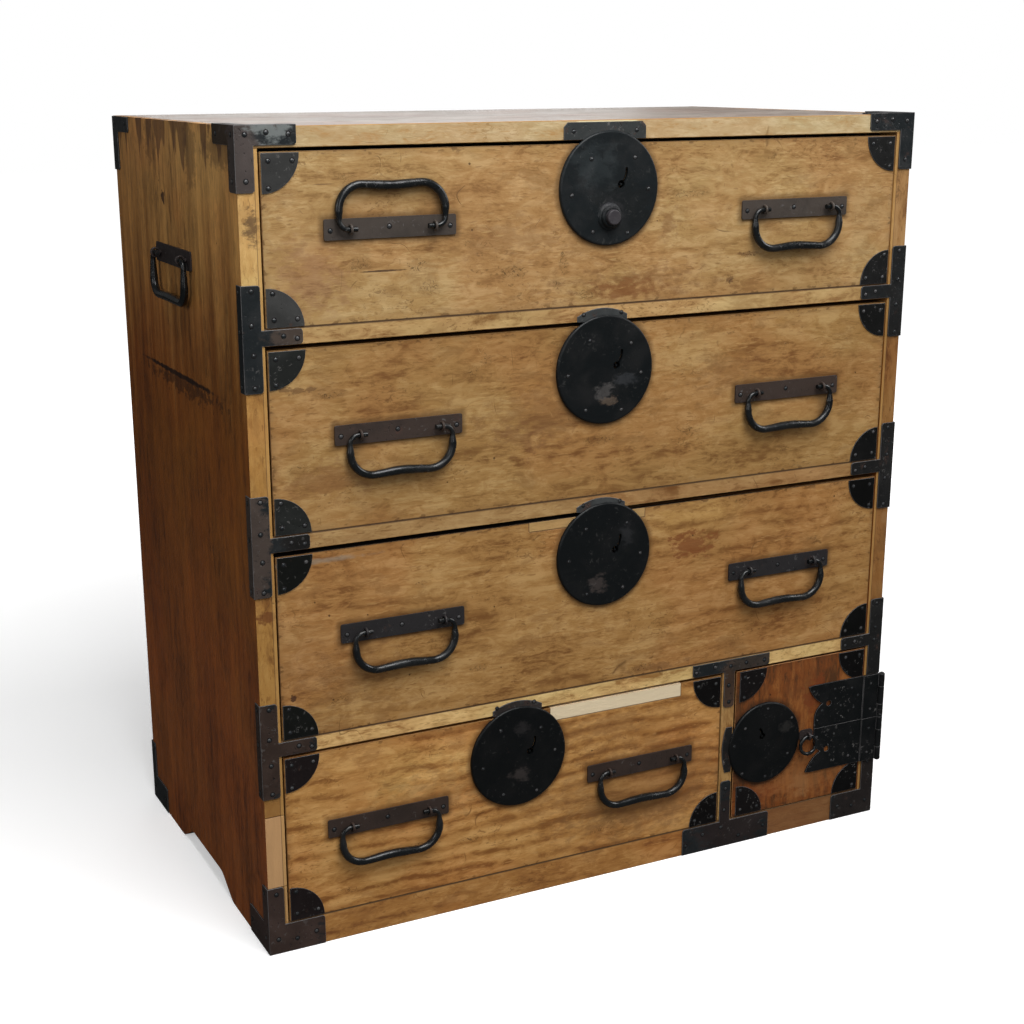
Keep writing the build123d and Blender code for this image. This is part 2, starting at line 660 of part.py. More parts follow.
def build_drawer(name):
    spec = DRAWERS[name]
    x0, x1, z0, z1 = drawer_bounds(name)
    lock_x, lock_z = lock_centre(name)
    depth = back_y - drawer_rear_gap
    handles = {"left": x0 + spec["inset"][0], "right": x1 - spec["inset"][1]}
    handle_z = z0 + spec["handle_z"]
    has_knob = name == "drawer_1"

    side_top = z1 - side_drop
    bolt, slot = upright_bolt(lock_x, z1)
    front = block((x0, x1), (0, front_t), (z0, z1))
    front -= block((x0, x0 + box_side_t), (front_skin, front_t), (z0, side_top))
    front -= block((x1 - box_side_t, x1), (front_skin, front_t), (z0, side_top))
    front -= block((x0, x1), (front_skin, front_t), (z0, z0 + box_bottom_t))
    front -= slot
    front -= key_pocket(lock_x, lock_z, DRAWER_KEY)
    for x in handles.values():
        front -= pin_holes(HANDLE, x, handle_z, front_t)
    if has_knob:
        pocket = knob_tail + knob_travel + 1
        wide = knob_r + knob_flange
        front -= rod_y(lock_x, lock_z - knob_drop, wide + 2 * knob_gap, 0, pocket)
        button = rod_y(lock_x, lock_z - knob_drop, knob_r, -lock_stand, knob_tail)
        rim = button.edges().filter_by(GeomType.CIRCLE).sort_by(Axis.Y)[0]
        button = fillet(rim, 1.5)
        button += rod_y(lock_x, lock_z - knob_drop, wide, 0, knob_flange_t)
        save(f"{name}_lock_button", button)
    save(f"{name}_front", front)
    save(f"{name}_bolt", bolt)

    floor_z = z0 + box_bottom_t
    left = block((x0, x0 + box_side_t), (front_skin, depth), (floor_z, side_top))
    right = block((x1 - box_side_t, x1), (front_skin, depth), (floor_z, side_top))
    back = block((x0 + box_side_t, x1 - box_side_t), (depth - box_back_t, depth),
                 (floor_z, z1 - back_drop))
    floor = block((x0, x1), (front_skin, depth), (z0, floor_z))
    save(f"{name}_box", left, right, back, floor)

    save(f"{name}_corner_irons", *quarter_irons(x0, x1, z0, z1, quarter_side))
    relief = block((x0, x1), (-lock_relief, 0), (z1 - 1.5, z1 + lock_r))
    plate = lock_plate(lock_x, lock_z, lock_r, DRAWER_KEY, relief, has_knob)
    save(f"{name}_lock_plate", *plate)

    irons = []
    for side, x in handles.items():
        pieces, swing = handle(HANDLE, front_t)
        if side == "left" and spec["left_up"]:
            axis = Pos(0, -bail_axis(HANDLE), 0)
            swing = axis * Rot(180 - folded_lean(), 0, 0) * axis.inverse() * swing
        at = Pos(x, 0, handle_z)
        irons += [at * p for p in pieces]
        save(f"{name}_bail_{side}", at * swing)
    save(f"{name}_handle_plates", *irons)


# ---------------------------------------------------------------- door
def door_bounds():
    return (divider_x1 + door_gap_left, inner_w - door_gap_right,
            lower_z + door_gap_bottom, rail_lower_z - door_gap_top)


def build_door():
    x0, x1, z0, z1 = door_bounds()
    lock_x = x0 + door_lock_inset
    ring_at = x1 - ring_x
    eye_z = hinge_z + ring_rise
    panel_z = (z0 + door_cleat_h, z1 - door_cleat_h)
    y = (front_t - cleat_tongue_t) / 2
    panel = block((x0, x1), (0, front_t), panel_z)
    tongues = block((x0, x1), (y, front_t - y),
                    (panel_z[0] - cleat_tongue, panel_z[1] + cleat_tongue))
    cleats = block((x0, x1), (0, front_t), (z0, z1)) - panel - tongues
    panel += tongues
    bolt_low, g = door_lock_z - bolt_w / 2, bolt_gap
    bolt_y = ((front_t - bolt_t) / 2, (front_t + bolt_t) / 2)
    bolt = block((x0 + bolt_sink, x0 + bolt_sink + bolt_len), bolt_y,
                 (bolt_low, bolt_low + bolt_w))
    panel -= block((x0, x0 + bolt_sink + bolt_len), (bolt_y[0] - g, bolt_y[1] + g),
                   (bolt_low - g, bolt_low + bolt_w + g))
    panel -= key_pocket(lock_x, door_lock_z, DOOR_KEY)
    panel -= rod_y(ring_at, eye_z, shank_r + shank_gap, 0, front_t)
    save("door_panel", panel, cleats)
    save("door_bolt", bolt)
    reach = hinge_h + hinge_iron_gap
    hinge_room = block((half_w - hinge_reach, half_w), (-quarter_t, 0),
                       (hinge_z - reach, hinge_z + reach))
    irons = quarter_irons(x0, x1, z0, z1, door_quarter_side)
    save("door_corner_irons", *[iron - hinge_room for iron in irons])
    relief = block((x0 - door_lock_r, x0 + 1.5), (-lock_relief, 0), (z0, z1))
    plate = lock_plate(lock_x, door_lock_z, door_lock_r, DOOR_KEY, relief, False)
    save("door_lock_plate", *plate)
    build_ring(ring_at, eye_z)


def build_ring(x, z):
    """Pull ring in its own split pin, over a small plate."""
    plate = fillet(Rectangle(RING["plate_w"], RING["plate_h"]).vertices(), ring_plate_round)
    plate = front_plate(Pos(x, z) * plate, -RING["plate_t"], 0)
    plate -= rod_y(x, z, shank_r + shank_gap, -RING["plate_t"], 0)
    pin = Pos(x, -bail_axis(RING), z) * split_pin(RING, front_t)
    save("door_ring_staple", plate, pin)
    ring = Rot(90, 0, 0) * Torus(ring_r, RING["tip_r"])
    save("door_ring", Pos(x, -bail_axis(RING), z - ring_r) * ring)


def leaf_face():
    """Door leaf of the upper hinge: pointed tip, hollow and lobe; z up from the seam."""
    tip, hollow, lobe = (-hinge_reach, hinge_h - 1), (-83.5, 31.5), (-94.8, 15.0)
    low = hinge_seam / 2
    edge = [Line((lobe[0], low), lobe),
            ThreePointArc(lobe, (-91.0, 25.0), hollow),
            ThreePointArc(hollow, (-96.0, 41.0), tip),
            Line(tip, (-hinge_reach + 6, hinge_h)),
            Line((-hinge_reach + 6, hinge_h), (-hinge_fold_w + 1, hinge_h)),
            Line((-hinge_fold_w + 1, hinge_h), (-hinge_fold_w + 1, low)),
            Line((-hinge_fold_w + 1, low), (lobe[0], low))]
    return make_face(Wire(edge)) - Pos(-74.2, 30.2) * Circle(hinge_hole_r)


def upper_hinge():
    """Door leaf, case leaf and pin of the upper hinge; x from the case's side, z from the seam."""
    low, high = hinge_seam / 2, hinge_h
    middle = (low + high) / 2
    mid = (middle - case_knuckle / 2, middle + case_knuckle / 2)
    bore = rod_z(knuckle_r, knuckle_y, pin_r + pin_gap, low - 1, high + 1)
    door = front_plate(leaf_face(), -hinge_leaf_t, 0)
    door += block((-hinge_fold_w, 1.2), (-hinge_fold_t, 0), (low, high))
    door -= block((-0.6, 3), (-hinge_fold_t, 0), (mid[0] - knuckle_gap, mid[1] + knuckle_gap))
    for z in ((low, mid[0] - knuckle_gap), (mid[1] + knuckle_gap, high)):
        door += rod_z(knuckle_r, knuckle_y, knuckle_r, *z)
    case = block((0, hinge_side_t), (knuckle_gap, hinge_side_leaf), (low, high))
    case += block((0, hinge_side_t), (knuckle_y, knuckle_gap), mid)
    case += rod_z(knuckle_r, knuckle_y, knuckle_r, *mid)
    pin = rod_z(knuckle_r, knuckle_y, pin_r, low, high)
    pin += rod_z(knuckle_r, knuckle_y, pin_head_r, high, high + pin_head_t)
    return door - bore, case - bore, pin


def build_hinges():
    at = Pos(half_w, 0, hinge_z)
    groups = {"door_hinge_leaves": [], "case_hinge_leaves": [], "hinge_pins": []}
    for name, piece in zip(groups, upper_hinge()):
        save(name, at * piece, at * mirror(piece, about=Plane.XY))


# ---------------------------------------------------------------- the whole chest
build_case()
build_corner_irons()
build_strap_irons()
build_divider_irons()
build_strikes()
build_side_handles()
for drawer in DRAWERS:
    build_drawer(drawer)
build_door()
build_hinges()
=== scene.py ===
import json
import math

import bmesh
import bpy
from bpy.props import FloatProperty, FloatVectorProperty, PointerProperty
from mathutils import Matrix, Vector


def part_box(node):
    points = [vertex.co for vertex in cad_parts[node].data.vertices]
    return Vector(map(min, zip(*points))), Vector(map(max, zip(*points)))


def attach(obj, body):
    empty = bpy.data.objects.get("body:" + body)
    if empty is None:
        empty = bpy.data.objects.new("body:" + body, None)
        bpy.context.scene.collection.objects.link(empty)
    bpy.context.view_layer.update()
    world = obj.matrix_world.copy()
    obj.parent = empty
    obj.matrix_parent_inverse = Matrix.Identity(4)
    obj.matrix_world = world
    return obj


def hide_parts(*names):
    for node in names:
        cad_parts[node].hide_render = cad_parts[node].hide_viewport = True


bl_info = {
    "name": "Iron-bound clothing chest",
    "version": (1, 0, 0),
    "blender": (4, 5, 0),
    "location": "View3D > Sidebar > Chest",
    "description": "Finishes an iron-bound drawer chest: boards, ironwork, nails, handles and stage",
    "category": "Object",
}

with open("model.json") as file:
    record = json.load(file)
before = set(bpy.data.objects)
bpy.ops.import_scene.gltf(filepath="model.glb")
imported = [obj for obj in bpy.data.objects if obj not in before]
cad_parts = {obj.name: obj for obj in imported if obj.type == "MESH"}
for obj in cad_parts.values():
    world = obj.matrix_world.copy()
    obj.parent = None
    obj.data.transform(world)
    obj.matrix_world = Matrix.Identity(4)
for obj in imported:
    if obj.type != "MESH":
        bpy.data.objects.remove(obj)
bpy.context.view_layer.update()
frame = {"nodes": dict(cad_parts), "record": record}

DRAWERS = ("drawer_1", "drawer_2", "drawer_3", "drawer_4")
SIDES = ("left", "right")
BACK_PLANKS = 5
MM = 0.001
FACE_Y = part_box("left_side")[0].y          # front face of the case
CASE_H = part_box("left_side")[1].z
HALF_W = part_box("right_side")[1].x


# ---------------------------------------------------------------- settings
def colour(name, text, value):
    return FloatVectorProperty(name=name, description=text, subtype="COLOR", size=3,
                               min=0.0, max=1.0, default=value)


class ChestWood(bpy.types.PropertyGroup):
    pale: colour("Pale wood", "Lightest streaks of the fronts", (0.50, 0.315, 0.125))
    honey: colour("Honey wood", "Main colour of the fronts", (0.385, 0.215, 0.070))
    brown: colour("Brown wood", "Dark streaks of the fronts", (0.20, 0.090, 0.024))
    stain: colour("Stains", "Old stains in the fronts", (0.155, 0.066, 0.022))
    side_light: colour("Side, top", "Side boards near the top", (0.49, 0.258, 0.076))
    side_dark: colour("Side, foot", "Side boards near the floor", (0.255, 0.076, 0.016))
    door_red: colour("Door wood", "Reddish wood of the door", (0.25, 0.095, 0.028))
    new_wood: colour("Mended wood", "Pieces let in later", (0.84, 0.60, 0.38))
    edge_wear: FloatProperty(name="Edge wear", description="Width of the rounded, worn edges",
                             subtype="DISTANCE", default=0.0009, min=0.0, max=0.004)


class ChestIron(bpy.types.PropertyGroup):
    black: colour("Black iron", "Lacquered iron of the locks", (0.016, 0.020, 0.022))
    grey: colour("Grey iron", "Rubbed iron", (0.075, 0.072, 0.072))
    rust: colour("Rust", "Brown rust", (0.060, 0.033, 0.025))
    edge_wear: FloatProperty(name="Edge wear", description="Width of the rounded edges",
                             subtype="DISTANCE", default=0.00045, min=0.0, max=0.002)
    nail_radius: FloatProperty(name="Nail head radius", description="Radius of a nail's head",
                               subtype="DISTANCE", default=0.0019, min=0.0005, max=0.006)
    nail_height: FloatProperty(name="Nail head height", description="How far a head stands out",
                               subtype="DISTANCE", default=0.0009, min=0.0002, max=0.004)


class ChestStage(bpy.types.PropertyGroup):
    lens: FloatProperty(name="Lens", description="Focal length of the camera", default=58.16,
                        min=20.0, max=200.0)
    sky: FloatProperty(name="Surround", description="Light from the surround", default=0.10,
                       min=0.0, max=5.0)
    bounce: FloatProperty(name="Floor bounce", description="Light the floor throws back",
                          default=0.10, min=0.0, max=1.0)
    glow: FloatProperty(name="Floor glow", description="Brightness the floor has by itself",
                        default=0.40, min=0.0, max=1.0)
    key: FloatProperty(name="Key light", description="Power of the soft light overhead",
                       default=62.0, min=0.0, max=900.0)
    right: FloatProperty(name="Right light", description="Power of the light at the right",
                         default=31.0, min=0.0, max=900.0)
    fill: FloatProperty(name="Fill light", description="Power of the light in front",
                        default=20.5, min=0.0, max=900.0)
    left: FloatProperty(name="Left light", description="Power of the light at the left",
                        default=14.0, min=0.0, max=900.0)
    back: FloatProperty(name="Back light", description="Power of the light behind",
                        default=14.0, min=0.0, max=900.0)


def settings():
    scene = bpy.context.scene
    return scene.chest_wood, scene.chest_iron, scene.chest_stage


# ---------------------------------------------------------------- node helpers
def times(tone, gain):
    """A colour multiplied by a number, or by another colour."""
    gains = (gain,) * 3 if isinstance(gain, float) else gain
    return [c * k for c, k in zip(tone, gains)]


class Graph:
    """Adds nodes to one tree; every input takes a value or another node's output."""

    def __init__(self, tree):
        self.tree = tree

    def fill(self, node, inputs):
        """Gives a node's inputs their values or links, and gives back its outputs."""
        for key, value in inputs.items():
            socket = node.inputs[key]
            if isinstance(value, bpy.types.NodeSocket):
                self.tree.links.new(value, socket)
            elif socket.type == "RGBA" and len(value) == 3:
                socket.default_value = (*value, 1.0)
            else:
                socket.default_value = value
        return node.outputs

    def add(self, kind, inputs, out=0, **settings):
        node = self.tree.nodes.new("ShaderNode" + kind)
        for key, value in settings.items():
            setattr(node, key, value)
        return self.fill(node, inputs)[out]

    def group(self, build, **inputs):
        node = self.tree.nodes.new("ShaderNodeGroup")
        node.node_tree = build()
        return self.fill(node, inputs)

    def math(self, operation, *values, clamp=False):
        return self.add("Math", dict(enumerate(values)), operation=operation, use_clamp=clamp)

    def vector(self, operation, *values, out=0):
        return self.add("VectorMath", dict(enumerate(values)), out, operation=operation)

    def length(self, vector):
        return self.vector("LENGTH", vector, out=1)

    def offset(self, point, centre):
        """How far a point is from a centre along each axis."""
        return self.vector("ABSOLUTE", self.vector("SUBTRACT", point, centre))

    def split(self, vector):
        return self.add("SeparateXYZ", {0: vector}).node.outputs

    def triple(self, value):
        return self.add("CombineXYZ", {"X": value, "Y": value, "Z": value})

    def scaled(self, vector, scale, shift=(0.0, 0.0, 0.0), turn=(0.0, 0.0, 0.0)):
        return self.add("Mapping", {"Vector": vector, "Scale": scale, "Location": shift,
                                    "Rotation": turn})

    def noise(self, vector, scale=1.0, detail=2.0, rough=0.5, bend=0.0):
        return self.add("TexNoise", {"Vector": vector, "Scale": scale, "Detail": detail,
                                     "Roughness": rough, "Distortion": bend})

    def step(self, value, low, high, start=0.0, end=1.0):
        return self.add("MapRange", {"Value": value, "From Min": low, "From Max": high,
                                     "To Min": start, "To Max": end},
                        interpolation_type="SMOOTHSTEP")

    def flip(self, value, clamp=False):
        """One minus a value."""
        return self.math("SUBTRACT", 1.0, value, clamp=clamp)

    def mix(self, factor, first, second, mode="MIX"):
        return self.add("Mix", {0: factor, 6: first, 7: second}, 2, data_type="RGBA",
                        blend_type=mode, clamp_factor=True)

    def cover(self, shade, mask, strength, tint, mode="MIX"):
        """Lays a tint over a shade where a mask lets it."""
        return self.mix(self.math("MULTIPLY", mask, strength), shade, tint, mode)

    def spot(self, point, centre, size, ragged, soft):
        return self.group(soft_spot, Vector=point, Centre=centre, Size=size, Ragged=ragged,
                          Soft=soft)["Mask"]

    def scratches(self, point, scale, width, share):
        return self.group(hairlines, Vector=point, Scale=scale, Width=width, Share=share)["Mask"]


def new_group(name, **inputs):
    """An empty group with its inputs; a number makes a value socket, anything else a vector."""
    tree = bpy.data.node_groups.new(name, "ShaderNodeTree")
    for label, default in inputs.items():
        kind = "Float" if isinstance(default, float) else "Vector"
        socket = tree.interface.new_socket(label, in_out="INPUT", socket_type="NodeSocket" + kind)
        if default is not None:
            socket.default_value = default
    return Graph(tree), tree.nodes.new("NodeGroupInput").outputs


def finish_group(g, **outputs):
    """Gives the group its outputs, all of them values."""
    for label in outputs:
        g.tree.interface.new_socket(label, in_out="OUTPUT", socket_type="NodeSocketFloat")
    g.fill(g.tree.nodes.new("NodeGroupOutput"), outputs)
    return g.tree


def once(build):
    """Builds a node group the first time it is asked for."""
    def get():
        name = build.__name__
        return bpy.data.node_groups.get(name) or build(name)
    return get


@once
def board_grain(name):
    """Figure of a sawn board whose grain runs along X, with Y across it."""
    g, i = new_group(name, Vector=None, Seed=0.0, Rings=9.0, Waves=1.0)

    def drawn(at, along, across, detail=2.0, rough=0.5, bend=0.0, shift=(0.0, 0.0, 0.0)):
        """Noise drawn out along the grain, with so many cells to the metre each way."""
        return g.noise(g.scaled(at, (along, across, across), shift), 1.0, detail, rough, bend)

    p = g.vector("ADD", i["Vector"], g.vector("MULTIPLY", g.triple(i["Seed"]), (7.31, 3.17, 5.53)))
    bend = g.math("MULTIPLY", g.math("SUBTRACT", drawn(p, 10.0, 7.0), 0.5),
                  g.math("MULTIPLY", i["Waves"], 0.03))
    field = g.math("MULTIPLY", g.math("ADD", drawn(p, 2.0, 7.0), bend), i["Rings"])
    ring = g.math("SINE", g.math("MULTIPLY", field, math.tau))
    ring = g.math("POWER", g.math("MULTIPLY_ADD", ring, 0.5, 0.5), 1.6)
    weave = g.math("MULTIPLY", drawn(p, 6.0, 5.0), i["Waves"])
    lines = g.math("MULTIPLY_ADD", g.split(p)[1], 60.0, g.math("MULTIPLY", weave, 2.6))
    lines = g.math("SINE", g.math("MULTIPLY", lines, math.tau))
    bands = g.math("MULTIPLY", g.math("POWER", g.math("MULTIPLY_ADD", lines, 0.5, 0.5), 1.7),
                   g.step(drawn(p, 5.0, 20.0), 0.32, 0.54))
    patchy = g.step(drawn(p, 15.0, 25.0), 0.38, 0.62, 0.3, 1.0)
    fibre = g.step(drawn(p, 80.0, 340.0, 3.0, 0.68), 0.3, 0.7)
    fibre = g.math("MULTIPLY_ADD", g.math("SUBTRACT", fibre, 0.5), patchy, 0.5)
    bent = g.vector("ADD", p, g.add("CombineXYZ", {"X": 0.0, "Y": bend, "Z": bend}))
    streak = g.step(drawn(bent, 9.0, 130.0, 3.0, 0.62), 0.32, 0.68)
    cloud = g.step(drawn(p, 7.0, 13.0, 4.0, 0.6, 0.5), 0.38, 0.62)
    mottle = g.step(drawn(p, 34.0, 72.0, 5.0, 0.70, 0.8), 0.37, 0.63)
    low = g.math("MULTIPLY_ADD", cloud, -0.07, 0.57)
    blotch = g.step(drawn(p, 17.0, 34.0, 6.0, 0.70, 0.4), low, g.math("ADD", low, 0.12))
    where = g.step(drawn(p, 13.0, 21.0), 0.47, 0.60)
    fleck = g.step(drawn(p, 75.0, 430.0, 1.0), 0.61, 0.70)
    dash = g.step(drawn(p, 95.0, 380.0, 1.0, shift=(3.0, 1.0, 2.0)), 0.64, 0.70)
    size = g.step(g.noise(p, 31.0, 1.0), 0.45, 0.66, 0.0, 0.075)
    dots = g.add("TexVoronoi", {"Vector": p, "Scale": 48.0})
    nick = g.step(dots, g.math("MULTIPLY", size, 0.6), size, 1.0, 0.0)
    near = g.step(drawn(p, 11.0, 16.0, shift=(4.0, 2.0, 6.0)), 0.54, 0.64)
    scuff = g.step(drawn(p, 120.0, 210.0, 3.0, 0.7, 1.2), 0.56, 0.64)
    return finish_group(g, Rings=ring, Bands=bands, Fibre=fibre, Streak=streak, Cloud=cloud,
                        Mottle=mottle, Blotch=blotch, Fleck=g.math("MULTIPLY", fleck, where),
                        Dash=g.math("MULTIPLY", dash, g.flip(where)), Nick=nick,
                        Scuff=g.math("MULTIPLY", scuff, near))


@once
def arch_figure(name):
    """Nested arches of a flat-sawn board round a centre, fading outwards."""
    g, i = new_group(name, Vector=None, Centre=None, Size=(0.1, 1.0, 0.04))
    p = g.vector("DIVIDE", g.vector("SUBTRACT", i["Vector"], i["Centre"]), i["Size"])
    far = g.math("MULTIPLY_ADD", g.noise(i["Vector"], 24.0, 2.0), 0.35, g.length(p))
    ring = g.math("MULTIPLY_ADD", g.math("SINE", g.math("MULTIPLY", far, 24.0)), 0.5, 0.5)
    return finish_group(g, Mask=g.math("MULTIPLY", ring, g.step(far, 0.5, 1.2, 1.0, 0.0)))


@once
def contact_grime(name):
    """Dirt and painted shade round a plate, and along a bail's outline: both from a rectangle with
    round ends.
    """
    g, i = new_group(name, Vector=None, Centre=None, Half=(0.1, 0.1, 0.1), Round=0.0, Reach=0.006)
    p = g.vector("SUBTRACT", g.offset(i["Vector"], i["Centre"]), i["Half"])
    outside = g.length(g.vector("MAXIMUM", p, (0.0, 0.0, 0.0)))
    across, _, up = g.split(p)
    inside = g.math("MINIMUM", g.math("MAXIMUM", across, up), 0.0)
    rough = g.math("MULTIPLY_ADD", g.noise(i["Vector"], 120.0, 3.0, 0.6), 0.005, -0.0025)
    away = g.math("ADD", g.math("SUBTRACT", g.math("ADD", outside, inside), i["Round"]), rough)
    return finish_group(g, Mask=g.step(away, 0.0, i["Reach"], 1.0, 0.0),
                        Outline=g.step(g.math("ABSOLUTE", away), 0.0, i["Reach"], 1.0, 0.0))


@once
def hairlines(name):
    """Thin curved scratches, where a second pattern lets them show."""
    g, i = new_group(name, Vector=None, Scale=14.0, Width=0.004, Share=0.5)
    line = g.noise(g.vector("MULTIPLY", i["Vector"], (1.0, 1.5, 1.0)), i["Scale"], 1.0, 0.4, 0.6)
    near = g.math("ABSOLUTE", g.math("SUBTRACT", line, 0.5))
    thin = g.flip(g.math("DIVIDE", near, i["Width"]), clamp=True)
    place = g.noise(i["Vector"], g.math("MULTIPLY", i["Scale"], 1.7), 2.0)
    low = g.math("SUBTRACT", 0.78, g.math("MULTIPLY", i["Share"], 0.35))
    show = g.step(place, low, g.math("ADD", low, 0.06))
    return finish_group(g, Mask=g.math("MULTIPLY", thin, show))


@once
def soft_spot(name):
    """A mark with a ragged edge round a centre."""
    g, i = new_group(name, Vector=None, Centre=None, Size=(0.02, 0.02, 0.02), Ragged=0.5, Soft=0.4)
    p = g.vector("DIVIDE", g.vector("SUBTRACT", i["Vector"], i["Centre"]), i["Size"])
    width = g.length(g.vector("MULTIPLY", i["Size"], (1.0, 0.0, 1.0)))
    fine = g.math("MINIMUM", g.math("MAXIMUM", g.math("DIVIDE", 2.6, width), 90.0), 320.0)
    rough = g.noise(g.scaled(i["Vector"], (0.7, 1.0, 1.3)), fine, 4.0, 0.70)
    rough = g.math("MULTIPLY", g.math("SUBTRACT", rough, 0.5), g.math("MULTIPLY", i["Ragged"], 5.0))
    far = g.math("ADD", g.length(p), rough)
    return finish_group(g, Mask=g.flip(g.step(far, g.flip(i["Soft"]), 1.0)))


@once
def set_in_patch(name):
    """Inside and seam of a rectangular piece let into a board."""
    g, i = new_group(name, Vector=None, Centre=None, Half=(0.1, 0.1, 0.1), Round=0.002)
    p = g.vector("SUBTRACT", g.offset(i["Vector"], i["Centre"]), i["Half"])
    p = g.vector("ADD", p, g.triple(i["Round"]))
    away = g.math("SUBTRACT", g.length(g.vector("MAXIMUM", p, (0.0, 0.0, 0.0))), i["Round"])
    return finish_group(g, Inside=g.flip(g.step(away, -0.0004, 0.0002)),
                        Seam=g.flip(g.step(g.math("ABSOLUTE", away), 0.0002, 0.0008)))


@once
def panel_border(name):
    """Distance to the nearest of a face's four edges, measured in the plane of the face."""
    g, i = new_group(name, Vector=None, Centre=None, Half=(0.1, 1.0, 0.1))
    x, y, z = g.split(g.vector("SUBTRACT", i["Half"], g.offset(i["Vector"], i["Centre"])))
    return finish_group(g, Distance=g.math("MINIMUM", x, g.math("MINIMUM", y, z)))


@once
def forged_skin(name):
    """Surface of hand-forged iron: rubbed patches, rust, pits and hammer marks."""
    g, i = new_group(name, Vector=None, Seed=0.0, Rust=0.3, Pits=0.5)
    p = g.vector("ADD", i["Vector"], g.vector("MULTIPLY", g.triple(i["Seed"]), (2.31, 4.17, 3.53)))
    cloud = g.noise(p, 55.0, 5.0, 0.68)
    grit = g.noise(p, 420.0, 3.0, 0.7)
    low = g.math("SUBTRACT", 0.72, g.math("MULTIPLY", i["Rust"], 0.42))
    rust = g.step(cloud, low, g.math("ADD", low, 0.13))
    rust = g.math("MULTIPLY", rust, g.step(grit, 0.30, 0.62))
    rub = g.step(g.noise(p, 26.0, 4.0, 0.6, 0.4), 0.42, 0.72)
    pit = g.step(g.noise(p, 300.0, 2.0, 0.6), 0.60, 0.72)
    pit = g.math("MULTIPLY", pit, g.math("MULTIPLY", i["Pits"], g.step(cloud, 0.38, 0.62)))
    chip = g.step(g.noise(p, 210.0, 2.0, 0.65, 0.8), 0.62, 0.68)
    chip = g.math("MULTIPLY", chip, g.step(g.noise(p, 34.0, 2.0), 0.42, 0.60))
    dent = g.noise(p, 85.0, 1.0, 0.4)
    height = g.math("SUBTRACT", g.math("MULTIPLY_ADD", grit, 0.18, g.math("MULTIPLY", dent, 1.1)),
                    g.math("MULTIPLY", pit, 0.9))
    return finish_group(g, Rust=rust, Rub=rub, Height=height, Speck=pit, Chip=chip)


# ---------------------------------------------------------------- materials
TURNS = {"x": (math.pi / 2, 0.0, 0.0),             # grain along X, faces towards Y
         "y": (math.pi / 2, math.pi / 2, 0.0),     # grain along Y, faces towards X
         "z": (0.0, math.pi / 2, 0.0),             # grain along Z, faces towards X
         "back": (math.pi / 2, 0.0, math.pi / 2),  # grain along Z, faces towards Y
         "top": (0.0, 0.0, 0.0)}                   # grain along X, faces up


def start_material(name):
    material = bpy.data.materials.new(name)
    material.use_nodes = True
    g = Graph(material.node_tree)
    shader = material.node_tree.nodes["Principled BSDF"]
    point = g.add("TexCoord", {}, 3)
    return material, g, shader, point


